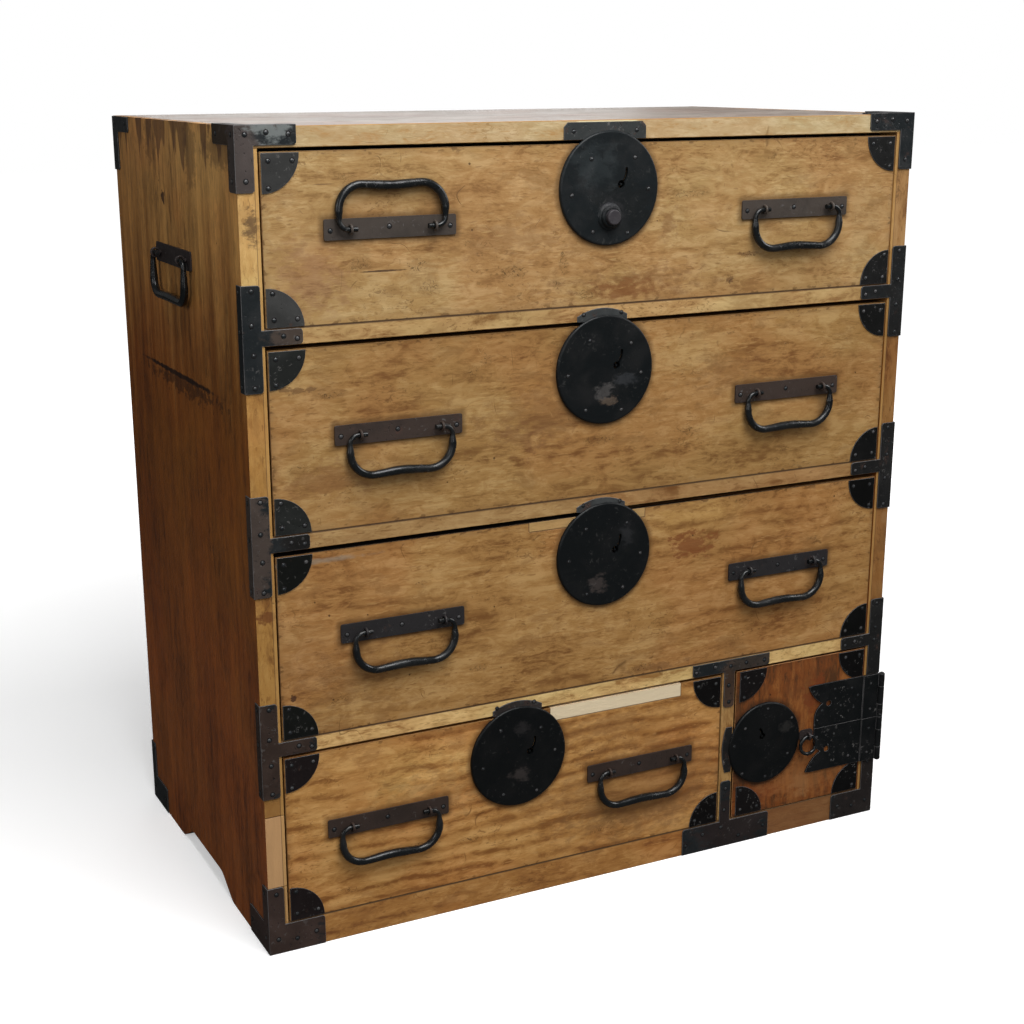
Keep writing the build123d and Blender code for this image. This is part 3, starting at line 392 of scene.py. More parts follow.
class Board:
    """One wood material, built up in layers from the bare figure to the marks of use."""

    def __init__(self, name, colours, run, seed, rings, waves):
        self.material, self.g, self.shader, self.point = start_material(name)
        self.pale, self.mid, self.dark = colours
        self.stain = [(d * 0.8 + m * 0.2) for d, m in zip(self.dark, self.mid)]
        self.shade = self.mid
        self.seed = seed
        along = self.g.scaled(self.point, (1.0, 1.0, 1.0), turn=TURNS[run])
        self.grain = self.g.group(board_grain, Vector=along, Seed=seed, Rings=rings, Waves=waves)
        self.lines = self.g.scratches(self.point, 13.0, 0.005, 0.5)

    def cover(self, mask, strength, tint, mode="MIX"):
        self.shade = self.g.cover(self.shade, mask, strength, tint, mode)

    def figure(self, figure, bands, amounts, arches):
        """The bare wood, from dark to pale."""
        g = self.g
        tone = g.math("MULTIPLY_ADD", self.grain["Rings"], -figure, 0.5 + figure * 0.4)
        tone = g.math("ADD", tone, g.math("MULTIPLY_ADD", self.grain["Bands"], -bands, bands * 0.3))
        for key, amount in amounts.items():
            tone = g.math("ADD", tone, g.math("MULTIPLY_ADD", self.grain[key], amount, -amount / 2))
        for centre, size, strength in arches:
            arch = g.group(arch_figure, Vector=self.point, Centre=centre, Size=size)["Mask"]
            tone = g.math("MULTIPLY_ADD", arch, -strength, tone)
        self.shade = g.mix(g.step(tone, -0.1, 0.5), self.dark, self.mid)
        self.shade = g.mix(g.step(tone, 0.40, 1.0), self.shade, self.pale)

    def areas(self, tones):
        """Ruddy clouds, and broad areas that are lighter or darker than the rest; some darker ones
        are painted shade.
        """
        g = self.g
        ruddy = g.scaled(self.point, (7.0, 7.0, 9.0), (self.seed, 0.0, self.seed))
        ruddy = g.step(g.noise(ruddy, 1.0, 3.0), 0.42, 0.64)
        self.cover(ruddy, 0.6, (1.0, 0.84, 0.80), "MULTIPLY")
        for centre, size, gain in tones:
            mask = g.spot(self.point, centre, size, ragged=0.3, soft=0.9)
            self.shade = g.mix(mask, self.shade, gain, "MULTIPLY")

    def wear(self, blotch, fleck, scuffs, scratches):
        """Blotches, flecks, scuffs, scratches and nicks all over."""
        g, pale, dark = self.g, self.pale, self.dark
        self.cover(self.grain["Blotch"], blotch, self.stain)
        self.cover(self.grain["Fleck"], fleck, times(pale, 1.2))
        self.cover(self.grain["Dash"], fleck * 1.3, dark)
        self.cover(self.grain["Scuff"], scuffs, times(dark, 0.7))
        self.cover(self.lines, scratches, times(dark, 0.6))
        curls = g.scaled(self.point, (1.0, 1.0, 1.6), (self.seed, 0.7, 2.4))
        self.cover(g.scratches(curls, 36.0, 0.012, 0.52), scratches * 0.6, times(dark, 0.7))
        bright = g.scaled(self.point, (1.0, 1.0, 1.0), (3.1, 1.7, 0.4))
        self.cover(g.scratches(bright, 31.0, 0.004, 0.5), 0.45, times(pale, 1.1))
        self.cover(self.grain["Nick"], 0.8, times(dark, 0.4))

    def edges(self, centre, half):
        """Dirt, a dark line of painted shade where the face meets the gap round it, and chips along
        the edges of a face.
        """
        g = self.g
        edge = g.group(panel_border, Vector=self.point, Centre=centre, Half=half)["Distance"]
        dirt = g.math("MULTIPLY", g.flip(g.step(edge, 0.001, 0.010)),
                      g.step(self.grain["Mottle"], 0.2, 0.9))
        self.cover(dirt, 0.45, self.stain)
        # the dark line within 1.4 mm of the edge is painted shade of the gap round the face
        self.cover(g.step(edge, 0.0002, 0.0014, 1.0, 0.0), 0.7, times(self.dark, 0.5))
        chips = g.step(g.noise(g.scaled(self.point, (110.0, 110.0, 190.0)), 1.0, 2.0), 0.58, 0.64)
        chips = g.math("MULTIPLY", chips, g.step(edge, 0.001, 0.007, 1.0, 0.0))
        self.cover(chips, 0.7, times(self.dark, 0.6))

    def marks(self, spots, grime):
        """Stains, and dirt with painted shade round the ironwork and along the bails."""
        for centre, size, tint, strength, ragged, soft in spots:
            self.cover(self.g.spot(self.point, centre, size, ragged, soft), strength, tint)
        for centre, half, rounding, reach, key, strength in grime:
            mask = self.g.group(contact_grime, Vector=self.point, Centre=centre, Half=half,
                                Round=rounding, Reach=reach)[key]
            self.cover(mask, strength, times(self.dark, 0.5))

    def scribbles(self, places):
        """Small nests of scratched lines."""
        g = self.g
        ridge = g.noise(g.scaled(self.point, (0.8, 1.0, 1.2)), 115.0, 2.0, 0.6, 1.4)
        ridge = g.math("DIVIDE", g.math("ABSOLUTE", g.math("SUBTRACT", ridge, 0.5)), 0.022)
        ridge = g.flip(ridge, clamp=True)
        for centre, size in places:
            mask = g.spot(self.point, centre, size, ragged=0.35, soft=0.6)
            self.cover(mask, 0.28, self.stain)
            self.cover(g.math("MULTIPLY", mask, ridge), 0.95, times(self.dark, 0.25))

    def patches(self, pieces):
        """Rectangular pieces let in later; gives back the mask of their seams."""
        g, seams = self.g, 0.0
        for centre, half, tint, strength in pieces:
            patch = g.group(set_in_patch, Vector=self.point, Centre=centre, Half=half, Round=0.0015)
            tinted = g.mix(self.grain["Streak"], times(tint, 0.86), tint)
            tinted = g.mix(self.grain["Fibre"], times(tint, 0.88), tinted)
            self.cover(patch["Inside"], strength, tinted)
            self.cover(patch["Seam"], 0.7, (0.12, 0.06, 0.03))
            seams = g.math("MAXIMUM", patch["Seam"], seams)
        return seams

    def finish(self, gloss, seams):
        """Sheen and relief; gives back the material."""
        g, grain = self.g, self.grain
        rough = g.math("MULTIPLY_ADD", grain["Mottle"], 0.16, 0.66 - gloss * 0.3)
        rough = g.math("ADD", rough, g.math("MULTIPLY", grain["Blotch"], 0.10), clamp=True)
        height = g.math("MULTIPLY_ADD", grain["Fibre"], 0.45,
                        g.math("MULTIPLY", grain["Rings"], -0.3))
        for mask, depth in ((self.lines, 0.9), (seams, 1.5), (grain["Nick"], 1.6)):
            height = g.math("SUBTRACT", height, g.math("MULTIPLY", mask, depth))
        height = g.math("ADD", height, g.math("MULTIPLY", grain["Streak"], 0.5))
        bump = g.add("Bump", {"Strength": 0.55, "Distance": 0.0004, "Height": height})
        g.fill(self.shader, {"Base Color": self.shade, "Roughness": rough, "Normal": bump,
                             "Specular IOR Level": 0.3})
        return self.material


def wood_material(name, pale, mid, dark, run="x", seed=0.0, rings=7.0, waves=1.0, figure=0.16,
                  bands=0.15, streak=0.16, cloud=0.34, mottle=0.40, fibre=0.34, blotch=0.45,
                  fleck=0.35, scuffs=0.55, scratches=0.7, gloss=0.5, arches=(), tones=(),
                  border=None, spots=(), grime=(), scribbles=(), patches=(), weather=None):
    """Old oiled board. arches are (centre, size, strength); tones are (centre, size, gain) of
    broad areas; border is a face's centre and half size; spots are (centre, size, colour,
    strength, ragged, soft); the dirt and painted shade round irons are what plate_edges lists;
    scribbles are (centre, size);
    patches are (centre, half size, colour, strength); the last argument adds weathering, joints or
    painted shade to the colour at the end."""
    board = Board(name, (pale, mid, dark), run, seed, rings, waves)
    amounts = {"Streak": streak, "Cloud": cloud, "Mottle": mottle, "Fibre": fibre}
    board.figure(figure, bands, amounts, arches)
    board.areas(tones)
    board.wear(blotch, fleck, scuffs, scratches)
    if border:
        board.edges(*border)
    board.marks(spots, grime)
    if scribbles:
        board.scribbles(scribbles)
    seams = board.patches(patches)
    if weather:
        board.shade = weather(board.g, board.point, board.shade)
    return board.finish(gloss, seams)


# how much darker and redder the side boards are at half height than at the top, partly weathering
# and partly painted shade of the light from above
SIDE_HALF_WAY = (0.44, 0.280, 0.110)


def side_weather(g, point, shade):
    """Paler at the top and dripped on there; darker and redder towards the floor, partly weathering
    and partly painted shade of the light from above; darker towards the back.
    """
    _, back, up = g.split(point)
    wood, _, _ = settings()
    long_run = g.noise(g.scaled(point, (1.0, 48.0, 1.6)), 1.0, 3.0, 0.6)
    level = g.math("MULTIPLY_ADD", long_run, 0.30, up)
    foot = [d / l / m for d, l, m in zip(wood.side_dark, wood.side_light, SIDE_HALF_WAY)]
    # the height gradient is partly weathering and partly painted shade of the light from above
    shade = g.mix(g.step(level, 0.97, 0.70), shade, SIDE_HALF_WAY, "MULTIPLY")
    shade = g.mix(g.step(level, 0.72, 0.30), shade, foot, "MULTIPLY")
    shade = g.mix(g.step(long_run, 0.36, 0.60), shade, (1.24, 1.23, 1.21), "MULTIPLY")
    rear = g.step(back, -0.08, 0.20)
    shade = g.cover(shade, rear, g.step(up, 0.15, 0.35), (0.88, 0.80, 0.76), "MULTIPLY")
    drip = g.noise(g.scaled(point, (1.0, 26.0, 2.2)), 1.0, 4.0, 0.62)
    drip = g.step(g.math("MULTIPLY_ADD", drip, 0.34, up), CASE_H + 0.158, CASE_H + 0.168)
    shade = g.mix(g.step(up, 0.76, 0.86, 0.0, 0.8), shade, (1.18, 1.26, 1.42), "MULTIPLY")
    return g.cover(shade, drip, 0.72, (0.118, 0.056, 0.028))


def iron_material(name, base, rub, rust, amount=0.3, seed=0.0, pits=0.5, shine=0.42, wear=0.35,
                  light=0.22, chips=0.4, spots=()):
    """Forged iron under old lacquer. spots as for wood."""
    material, g, shader, point = start_material(name)
    skin = g.group(forged_skin, Vector=point, Seed=seed, Rust=amount, Pits=pits)
    shade = g.cover(base, skin["Rub"], wear, rub)
    rough = g.math("MULTIPLY_ADD", skin["Rub"], 0.16, shine)
    for centre, size, tint, strength, ragged, soft in spots:
        mask = g.math("MULTIPLY", g.spot(point, centre, size, ragged, soft), strength)
        shade = g.mix(mask, shade, g.mix(skin["Rub"], tint, times(tint, 1.35)))
        rough = g.math("MULTIPLY_ADD", mask, 0.18, rough)
    shade = g.mix(skin["Rust"], shade, rust)
    shade = g.cover(shade, skin["Speck"], 0.85, times(base, 0.2))
    shade = g.cover(shade, skin["Chip"], chips, (0.13, 0.125, 0.12))
    shade = g.cover(shade, g.scratches(point, 38.0, 0.006, 0.35), 0.4, times(rub, 1.8))
    rough = g.math("MINIMUM", g.math("MULTIPLY_ADD", skin["Rust"], 0.3, rough), 0.95)
    bump = g.add("Bump", {"Strength": 0.8, "Distance": 0.0006, "Height": skin["Height"]})
    g.fill(shader, {"Base Color": shade, "Roughness": rough, "Normal": bump, "Metallic": 0.0,
                    "Specular IOR Level": light})
    return material


# ---------------------------------------------------------------- mesh helpers
FLAT = 0.9                # share of a normal along an axis that counts as facing it
NAIL_RING = 1.55          # the dark ring's radius, in nail heads
NAIL_TIP = 0.72           # where a head's flat tip starts, in radii and in heights
RING_LOW, RING_HIGH = 0.00002, 0.00012


def new_piece(name, bm, materials, body):
    """Makes a bmesh an object that rides on a body."""
    mesh = bpy.data.meshes.new(name)
    bm.to_mesh(mesh)
    bm.free()
    piece = bpy.data.objects.new(name, mesh)
    bpy.context.scene.collection.objects.link(piece)
    for material in materials:
        mesh.materials.append(material)
    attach(piece, body)
    return piece


def body_of(node):
    for body, nodes in frame["record"]["behaviour"]["bodies"].items():
        if node in nodes:
            return body
    raise RuntimeError(f"no body holds {node}")


def dress(node, materials, edge, sharp=38.0):
    """A CAD node's shape with its triangles joined and its sharp edges rounded; the rounded
    strips take the second material."""
    bm = bmesh.new()
    bm.from_mesh(frame["nodes"][node].data)
    bmesh.ops.remove_doubles(bm, verts=bm.verts, dist=2e-6)
    bmesh.ops.dissolve_limit(bm, angle_limit=math.radians(0.4), verts=bm.verts, edges=bm.edges)
    for face in bm.faces:
        face.smooth = True
        face.material_index = 0
    for e in bm.edges:
        e.smooth = len(e.link_faces) == 2 and e.calc_face_angle(0.0) < math.radians(sharp)
    piece = new_piece(node + "_finish", bm, materials, body_of(node))
    if edge:
        bevel = piece.modifiers.new("worn edges", "BEVEL")
        bevel.width = edge
        bevel.segments = 2
        bevel.limit_method = "ANGLE"
        bevel.angle_limit = math.radians(sharp)
        bevel.harden_normals = True
        bevel.material = 1
    else:
        flat = piece.modifiers.new("flat faces", "WEIGHTED_NORMAL")
        flat.keep_sharp = True
    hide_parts(node)
    return piece


def paint(piece, slot, chosen):
    """Gives the faces that a test picks the material of a slot."""
    for face in piece.data.polygons:
        if chosen(face):
            face.material_index = slot


def nail_heads(name, body, heads, materials):
    """Flattened domes with a dark ring round each; heads are (foot, direction, size)."""
    _, iron, _ = settings()
    bm = bmesh.new()
    for foot, out, size in heads:
        r, h = iron.nail_radius * size, iron.nail_height * size
        turn = Vector(out).to_track_quat("Z", "Y").to_matrix().to_4x4()
        place = Matrix.Translation(foot) @ turn
        for r1, r2, low, high, slot in ((r * NAIL_RING, r, RING_LOW, RING_HIGH, 1),
                                        (r, r * NAIL_TIP, RING_HIGH, h * NAIL_TIP, 0),
                                        (r * NAIL_TIP, 0.0, h * NAIL_TIP, h, 0)):
            up = Matrix.Translation((0.0, 0.0, (low + high) / 2))
            made = bmesh.ops.create_cone(bm, cap_ends=False, segments=8, radius1=r1, radius2=r2,
                                         depth=high - low, matrix=place @ up)
            for face in {face for vert in made["verts"] for face in vert.link_faces}:
                face.material_index = slot
                face.smooth = slot == 0
    bmesh.ops.remove_doubles(bm, verts=bm.verts, dist=2e-6)
    return new_piece(name, bm, materials, body)


def box_mid(node):
    low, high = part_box(node)
    return (low + high) / 2, (high - low) / 2


# ---------------------------------------------------------------- boards
def at(x, y, z):
    """Point in millimetres from the lower left corner of the case's front."""
    return (-HALF_W + x * MM, FACE_Y + y * MM, z * MM)


def front_marks(*rows):
    """Marks on the front: x, z, half width and half height in millimetres, then what the
    material takes, such as colour, strength, raggedness and softness."""
    return [(at(x, 0, z), (w * MM, 1.0, t * MM), *rest) for x, z, w, t, *rest in rows]


def side_marks(*rows):
    """The same on the left side, with the first two places measured back and up."""
    return [(at(0, y, z), (1.0, w * MM, t * MM), *rest) for y, z, w, t, *rest in rows]


def iron_marks(*rows):
    """The same on irons that go round a corner: x, y, z and three half sizes come first."""
    return [(at(x, y, z), (w * MM, d * MM, t * MM), *rest) for x, y, z, w, d, t, *rest in rows]


# how far in from the case's side the bare strip along the drawers begins
BEAD_IN = 0.0178


def opening_bead(g, point, shade):
    """Bare strip along the inner edges of the case's front, with a dark line of painted gap shadow
    outside it; darker and redder below mid height, and the right stile painted darker as shade.
    """
    across, _, up = g.split(point)
    out = g.math("SUBTRACT", g.math("ABSOLUTE", across), HALF_W - BEAD_IN)
    strip = g.step(out, 0.0, 0.0003, 1.0, 0.0)
    # the dark line just outside the strip is painted shadow of the gap beside the drawers
    line = g.step(g.math("ABSOLUTE", g.math("SUBTRACT", out, 0.0004)), 0.0002, 0.0006, 1.0, 0.0)
    shade = g.mix(g.step(up, 0.74, 0.58), shade, (0.72, 0.58, 0.42), "MULTIPLY")
    # the right stile is painted darker: shade where the light falls off to the right
    right = g.math("GREATER_THAN", across, 0.0)
    shade = g.mix(right, shade, (0.65, 0.60, 0.64), "MULTIPLY")
    shade = g.cover(shade, strip, 0.5, (0.50, 0.28, 0.085))
    return g.cover(shade, line, 0.65, (0.09, 0.045, 0.018))


def parting_lines(g, point, shade):
    """Painted shade: a dark line where each drawer front ends over the rail below, in the groove
    between them.
    """
    up = g.split(point)[2]
    for name in DRAWERS:
        away = g.math("ABSOLUTE", g.math("SUBTRACT", up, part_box(name + "_front")[0].z))
        shade = g.cover(shade, g.step(away, 0.0006, 0.0016, 1.0, 0.0), 0.85, (0.05, 0.024, 0.010))
    return shade


def plank_seams(g, point, shade):
    """Open joints between the back planks, each plank with a tone of its own."""
    low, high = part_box("back_boards")
    width = (high.x - low.x) / BACK_PLANKS
    across = g.math("DIVIDE", g.math("SUBTRACT", g.split(point)[0], low.x), width)
    tone = g.math("SINE", g.math("MULTIPLY_ADD", g.math("FLOOR", across), 12.9, 4.1))
    tone = g.math("FRACT", g.math("MULTIPLY", tone, 43.7))
    shade = g.cover(shade, tone, 0.8, (0.66, 0.60, 0.55), "MULTIPLY")
    near = g.math("MULTIPLY", g.math("PINGPONG", across, 0.5), width)
    shade = g.mix(g.step(near, 0.0, 0.012, 0.35, 0.0), shade, (0.10, 0.055, 0.028))
    return g.mix(g.step(near, 0.0005, 0.0013, 0.95, 0.0), shade, (0.012, 0.007, 0.005))


# how far each rail's colour departs from the common one
RAIL_TINT = {"shelf_upper": (1.00, 1.05, 1.05), "shelf_middle": (0.80, 0.76, 0.72),
             "shelf_lower": (1.46, 1.62, 1.64)}
SCORCH = (0.035, 0.017, 0.010)


class CHEST_OT_case_boards(bpy.types.Operator):
    """Side boards, top, rails, divider and the boards inside"""
    bl_idname = "chest.case_boards"
    bl_label = "Case boards"

    def execute(self, context):
        wood, _, _ = settings()
        # the rounded edges are worn wood, with painted shade along the line under each drawer front
        worn = wood_material("worn edge", (0.50, 0.31, 0.115), (0.36, 0.20, 0.065), wood.honey,
                             seed=3.0, figure=0.1, weather=parting_lines)
        self.sides(wood)
        self.top(wood, worn)
        self.rails(wood, worn)
        self.inner_boards(wood, worn)
        return {"FINISHED"}

    def sides(self, wood):
        light = wood.side_light
        worn = wood_material("worn side edge", light, times(light, 0.8), wood.side_dark, run="z",
                             seed=5.0, figure=0.1, weather=side_weather)
        side = wood_material(
            "side boards", times(light, 1.3), light, times(light, 0.5), run="z", seed=1.0,
            rings=5.0, figure=0.18, streak=0.30, cloud=0.35, mottle=0.25, fibre=0.45, blotch=0.3,
            fleck=0.15, bands=0.15, scuffs=0.2, scratches=0.35, weather=side_weather,
            spots=side_marks((234, 591, 165, 3.6, SCORCH, 0.95, 0.25, 0.4),
                             (215, 582, 130, 10, SCORCH, 0.6, 0.85, 0.3),
                             (259, 781, 9, 8, SCORCH, 0.9, 0.7, 0.4),
                             (150, 832, 28, 45, SCORCH, 0.45, 0.35, 0.5),
                             (300, 840, 30, 30, SCORCH, 0.4, 0.35, 0.5),
                             (40, 838, 75, 22, SCORCH, 0.5, 0.35, 0.5),
                             (255, 440, 0.7, 300, (0.36, 0.22, 0.10), 0.45, 0.12, 0.9),
                             (135, 520, 0.6, 220, (0.30, 0.17, 0.08), 0.4, 0.12, 0.9)))
        front = wood_material(
            "stile fronts", (0.60, 0.41, 0.155), (0.51, 0.32, 0.105), wood.brown, run="z",
            seed=2.0, rings=4.0, figure=0.10, blotch=0.35, weather=opening_bead,
            spots=front_marks((11, 378.8, 12, 8, (0.20, 0.075, 0.022), 0.8, 0.5, 0.4),
                              (11, 404.7, 14, 60, (0.22, 0.10, 0.035), 0.45, 0.5, 0.8),
                              (13, 770, 12, 18, (0.07, 0.036, 0.018), 0.75, 0.8, 0.8),
                              (795, 387.5, 6, 9, (0.60, 0.42, 0.2), 0.7, 0.4, 0.4),
                              (11, 163.6, 30, 50, (0.30, 0.155, 0.055), 0.55, 0.4, 0.8)),
            patches=front_marks((10.5, 118.4, 12.5, 40.9, wood.new_wood, 0.92),
                                (20.8, 56, 2.8, 21.5, wood.new_wood, 0.85)))
        for name in ("left_side", "right_side"):
            piece = dress(name, [side, worn, front], wood.edge_wear)
            paint(piece, 2, lambda face: face.normal.y < -FLAT and face.center.y < FACE_Y + MM)

    def top(self, wood, worn):
        # the top's grey-brown colours are partly the wood and partly a painted sheen of the bright
        # surround, seen at a low angle
        top = wood_material("top board", (0.40, 0.345, 0.300), (0.31, 0.262, 0.225),
                            (0.18, 0.142, 0.115), run="top", seed=4.0, rings=6.0, gloss=1.0)
        front = wood_material(
            "top board front", (0.54, 0.430, 0.245), (0.44, 0.325, 0.160), wood.honey, seed=6.0,
            rings=5.0, figure=0.12, blotch=0.3,
            spots=front_marks((400, 860, 38, 2.8, (0.74, 0.64, 0.38), 0.95, 0.1, 0.2)))
        piece = dress("top_board", [top, worn, front], wood.edge_wear)
        paint(piece, 2, lambda face: face.normal.y < -FLAT)

    def rails(self, wood, worn):
        base = wood_material(
            "base rail", (0.50, 0.262, 0.082), (0.365, 0.165, 0.042), (0.19, 0.070, 0.018),
            seed=8.0, rings=6.0, bands=0.3, weather=parting_lines,
            spots=front_marks((700, 17, 150, 80, (0.17, 0.070, 0.026), 0.8, 0.3, 0.5)))
        for seed, (name, tint) in enumerate(RAIL_TINT.items(), start=7):
            tones = [times(tone, tint)
                     for tone in ((0.53, 0.35, 0.150), (0.42, 0.255, 0.098), wood.brown)]
            rail = wood_material(name + " rail", *tones, seed=float(seed), rings=6.0, blotch=0.3,
                                 figure=0.14, weather=parting_lines)
            dress(name, [rail, worn], wood.edge_wear)
        dress("bottom_board", [base, worn], wood.edge_wear)

    def inner_boards(self, wood, worn):
        divider = wood_material("divider wood", wood.pale, wood.honey, wood.brown, run="z",
                                seed=9.0)
        dress("divider", [divider, worn], wood.edge_wear)
        back = wood_material("back planks", (0.40, 0.265, 0.150), (0.285, 0.175, 0.090),
                             (0.150, 0.085, 0.042), run="back", seed=10.0, rings=9.0, waves=0.5,
                             figure=0.34, streak=0.42, cloud=0.3, mottle=0.12, fibre=0.42,
                             blotch=0.25, fleck=0.1, gloss=0.1, weather=plank_seams)
        dress("back_boards", [back, back], wood.edge_wear)
        inner = wood_material("inside boards", (0.52, 0.37, 0.2), (0.42, 0.28, 0.14),
                              (0.26, 0.16, 0.08), run="top", seed=10.0, gloss=0.1, fleck=0.1)
        dress("compartment_shelf", [inner, inner], wood.edge_wear)


# how far each drawer front departs from the three wood colours
FRONT_TINT = {"drawer_1": (0.95, 1.02, 1.12), "drawer_2": (0.84, 0.83, 0.79),
              "drawer_3": (0.90, 0.84, 0.77), "drawer_4": (1.16, 1.02, 0.86)}
# figure of each drawer front, its broad lighter and darker areas, its nests of scratches and
# the pieces let in, as wood_material takes them; the darker areas at the right ends of the two
# upper fronts are painted shade where the light falls off
FRONT_LOOK = {
    "drawer_1": {
        "rings": 5.0, "figure": 0.06, "bands": 0.06, "seed": 11.0,
        "tones": front_marks((516, 799, 75, 32, (1.05, 1.16, 1.24)),
                             (745, 760, 40, 60, (0.88, 0.90, 0.88))),
        "scribbles": front_marks((122, 728, 14, 8), (184, 724, 15, 9), (195, 702, 16, 9),
                                 (290, 711, 18, 9), (349, 718, 7, 17), (343, 695, 6, 12),
                                 (382, 684, 22, 8), (559, 688, 9, 7), (584, 714, 16, 5),
                                 (109, 813, 14, 6), (242, 741, 10, 6), (503, 782, 30, 5))},
    "drawer_2": {
        "rings": 6.0, "figure": 0.10, "bands": 0.12, "seed": 22.0,
        "arches": front_marks((347, 529, 105, 45, 0.37)),
        "tones": front_marks((513, 610, 75, 38, (1.05, 1.16, 1.22)),
                             (738, 566, 45, 80, (0.88, 0.86, 0.82))),
        "scribbles": front_marks((87, 601, 22, 6), (241, 611, 14, 8), (260, 622, 8, 10),
                                 (397, 524, 25, 7), (52, 528, 14, 6), (512, 523, 18, 5),
                                 (687, 594, 14, 6))},
    "drawer_3": {
        "rings": 6.0, "figure": 0.14, "bands": 0.22, "seed": 36.0,
        "tones": front_marks((522, 426, 80, 28, (1.24, 1.34, 1.38)),
                             (45, 330, 50, 70, (0.90, 0.89, 0.90))),
        "scribbles": front_marks((87, 277, 18, 6), (454, 251, 20, 6), (590, 433, 16, 5),
                                 (250, 285, 16, 5), (689, 373, 12, 7), (181, 390, 12, 5)),
        "patches": front_marks((383, 435.7, 73, 5.5, (0.52, 0.335, 0.135), 0.65))},
    "drawer_4": {
        "rings": 9.0, "figure": 0.12, "bands": 0.60, "seed": 47.0, "waves": 1.3,
        "tones": front_marks((462, 176, 110, 52, (0.78, 0.71, 0.64)),
                             (190, 172, 95, 50, (1.24, 1.46, 1.60))),
        "scribbles": front_marks((237, 83, 20, 5), (92, 56, 16, 5), (405, 59, 18, 5),
                                 (54, 210, 14, 4), (219, 129, 10, 5), (176, 90, 25, 4)),
        "patches": front_marks((424, 215.7, 86.5, 9, (0.85, 0.70, 0.47), 0.97))},
}


def front_stains(name):
    """Stains of one drawer front, as wood_material takes spots."""
    wood, _, _ = settings()
    stain, brown, red = tuple(wood.stain), (0.19, 0.085, 0.03), (0.20, 0.068, 0.018)
    rows = {
        "drawer_1": ((290, 745, 100, 30, stain, 0.30, 0.9, 0.9),
                     (440, 690, 120, 22, stain, 0.45, 0.9, 0.9),
                     (70, 715, 50, 50, (0.26, 0.13, 0.07), 0.4, 0.6, 0.9),
                     (143, 720, 28, 1.1, (0.055, 0.026, 0.012), 0.9, 0.30, 0.3),
                     (86, 806, 13, 0.7, (0.12, 0.06, 0.03), 0.7, 0.08, 0.5),
                     (559, 688, 6, 4, (0.11, 0.05, 0.02), 0.8, 0.7, 0.4),
                     (581, 715, 13, 3, (0.13, 0.055, 0.02), 0.7, 0.8, 0.4),
                     (477, 753, 14, 24, brown, 0.5, 0.7, 0.8),
                     (428, 686, 55, 11, (0.2, 0.075, 0.02), 0.6, 0.8, 0.6)),
        "drawer_2": ((330, 560, 100, 45, stain, 0.35, 0.8, 0.9),
                     (560, 585, 70, 30, stain, 0.30, 0.8, 0.9),
                     (640, 520, 120, 18, (0.50, 0.31, 0.11), 0.35, 0.5, 0.9),
                     (84, 514, 60, 20, (0.22, 0.1, 0.035), 0.45, 0.9, 0.7),
                     (55, 609, 20, 4, (0.12, 0.055, 0.02), 0.6, 0.9, 0.4),
                     (299, 534, 30, 20, brown, 0.4, 0.9, 0.7)),
        "drawer_3": ((521, 390, 34, 16, red, 0.85, 0.75, 0.5),
                     (500, 399, 16, 6, red, 0.85, 0.8, 0.4),
                     (100, 300, 70, 50, stain, 0.35, 0.8, 0.9),
                     (36, 287, 4, 4, (0.06, 0.022, 0.01), 0.9, 0.5, 0.4),
                     (587, 504, 30, 10, brown, 0.3, 0.9, 0.7),
                     (468, 249, 50, 6, (0.16, 0.07, 0.025), 0.5, 0.9, 0.6),
                     (60, 431, 90, 4, (0.30, 0.24, 0.17), 0.6, 0.3, 0.8)),
        "drawer_4": ((200, 150, 90, 40, stain, 0.35, 0.8, 0.9),
                     (450, 75, 120, 30, stain, 0.30, 0.8, 0.9),
                     (458, 98, 170, 85, (0.235, 0.115, 0.04), 0.45, 0.4, 0.7),
                     (402, 190, 100, 20, (0.22, 0.1, 0.032), 0.4, 0.7, 0.8)),
    }
    return front_marks(*rows[name])


HANDLE_PLATE_HALF = (0.0705, 1.0, 0.0102)
BAIL_ROUND = 0.018                  # how round the corners of a bail's outline are
BAIL_IN_X, BAIL_IN_Z = 0.008, 0.004    # from a bail's box to the middle of its bar
POCKET_DEPTH = 0.019


def plate_edge(name):
    """Dirt and painted shade round the rim of a round lock plate, as wood_material takes them."""
    centre, half = box_mid(name + "_lock_plate")
    return (centre, (0.0, 1.0, 0.0), half.z, 0.008, "Mask", 0.7)


def plate_edges(name):
    """Dirt and painted shade round the lock plate, the handle plates and the bails of a drawer."""
    edges = [plate_edge(name)]
    low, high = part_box(name + "_handle_plates")
    for side in SIDES:
        bail, size = box_mid(f"{name}_bail_{side}")
        bar = (size.x - BAIL_ROUND - BAIL_IN_X, 1.0, size.z - BAIL_ROUND - BAIL_IN_Z)
        edges.append(((bail.x, FACE_Y, (low.z + high.z) / 2), HANDLE_PLATE_HALF, 0.0, 0.008,
                      "Mask", 0.7))
        # dirt and painted shade along the bail's outline, where its shadow falls on the front
        edges.append(((bail.x, FACE_Y, bail.z - 2 * MM), bar, BAIL_ROUND, 0.010, "Outline", 0.5))
    return edges


def darken_pocket(piece, name):
    """Gives the hollow behind a lock plate the third material, a near-black painted shade."""
    centre, half = box_mid(name + "_lock_plate")

    def in_pocket(face):
        away = Vector((face.center.x - centre.x, face.center.z - centre.z)).length
        behind = face.center.y - FACE_Y
        return away < half.z * 0.8 and 0.5 * MM < behind < POCKET_DEPTH

    paint(piece, 2, in_pocket)


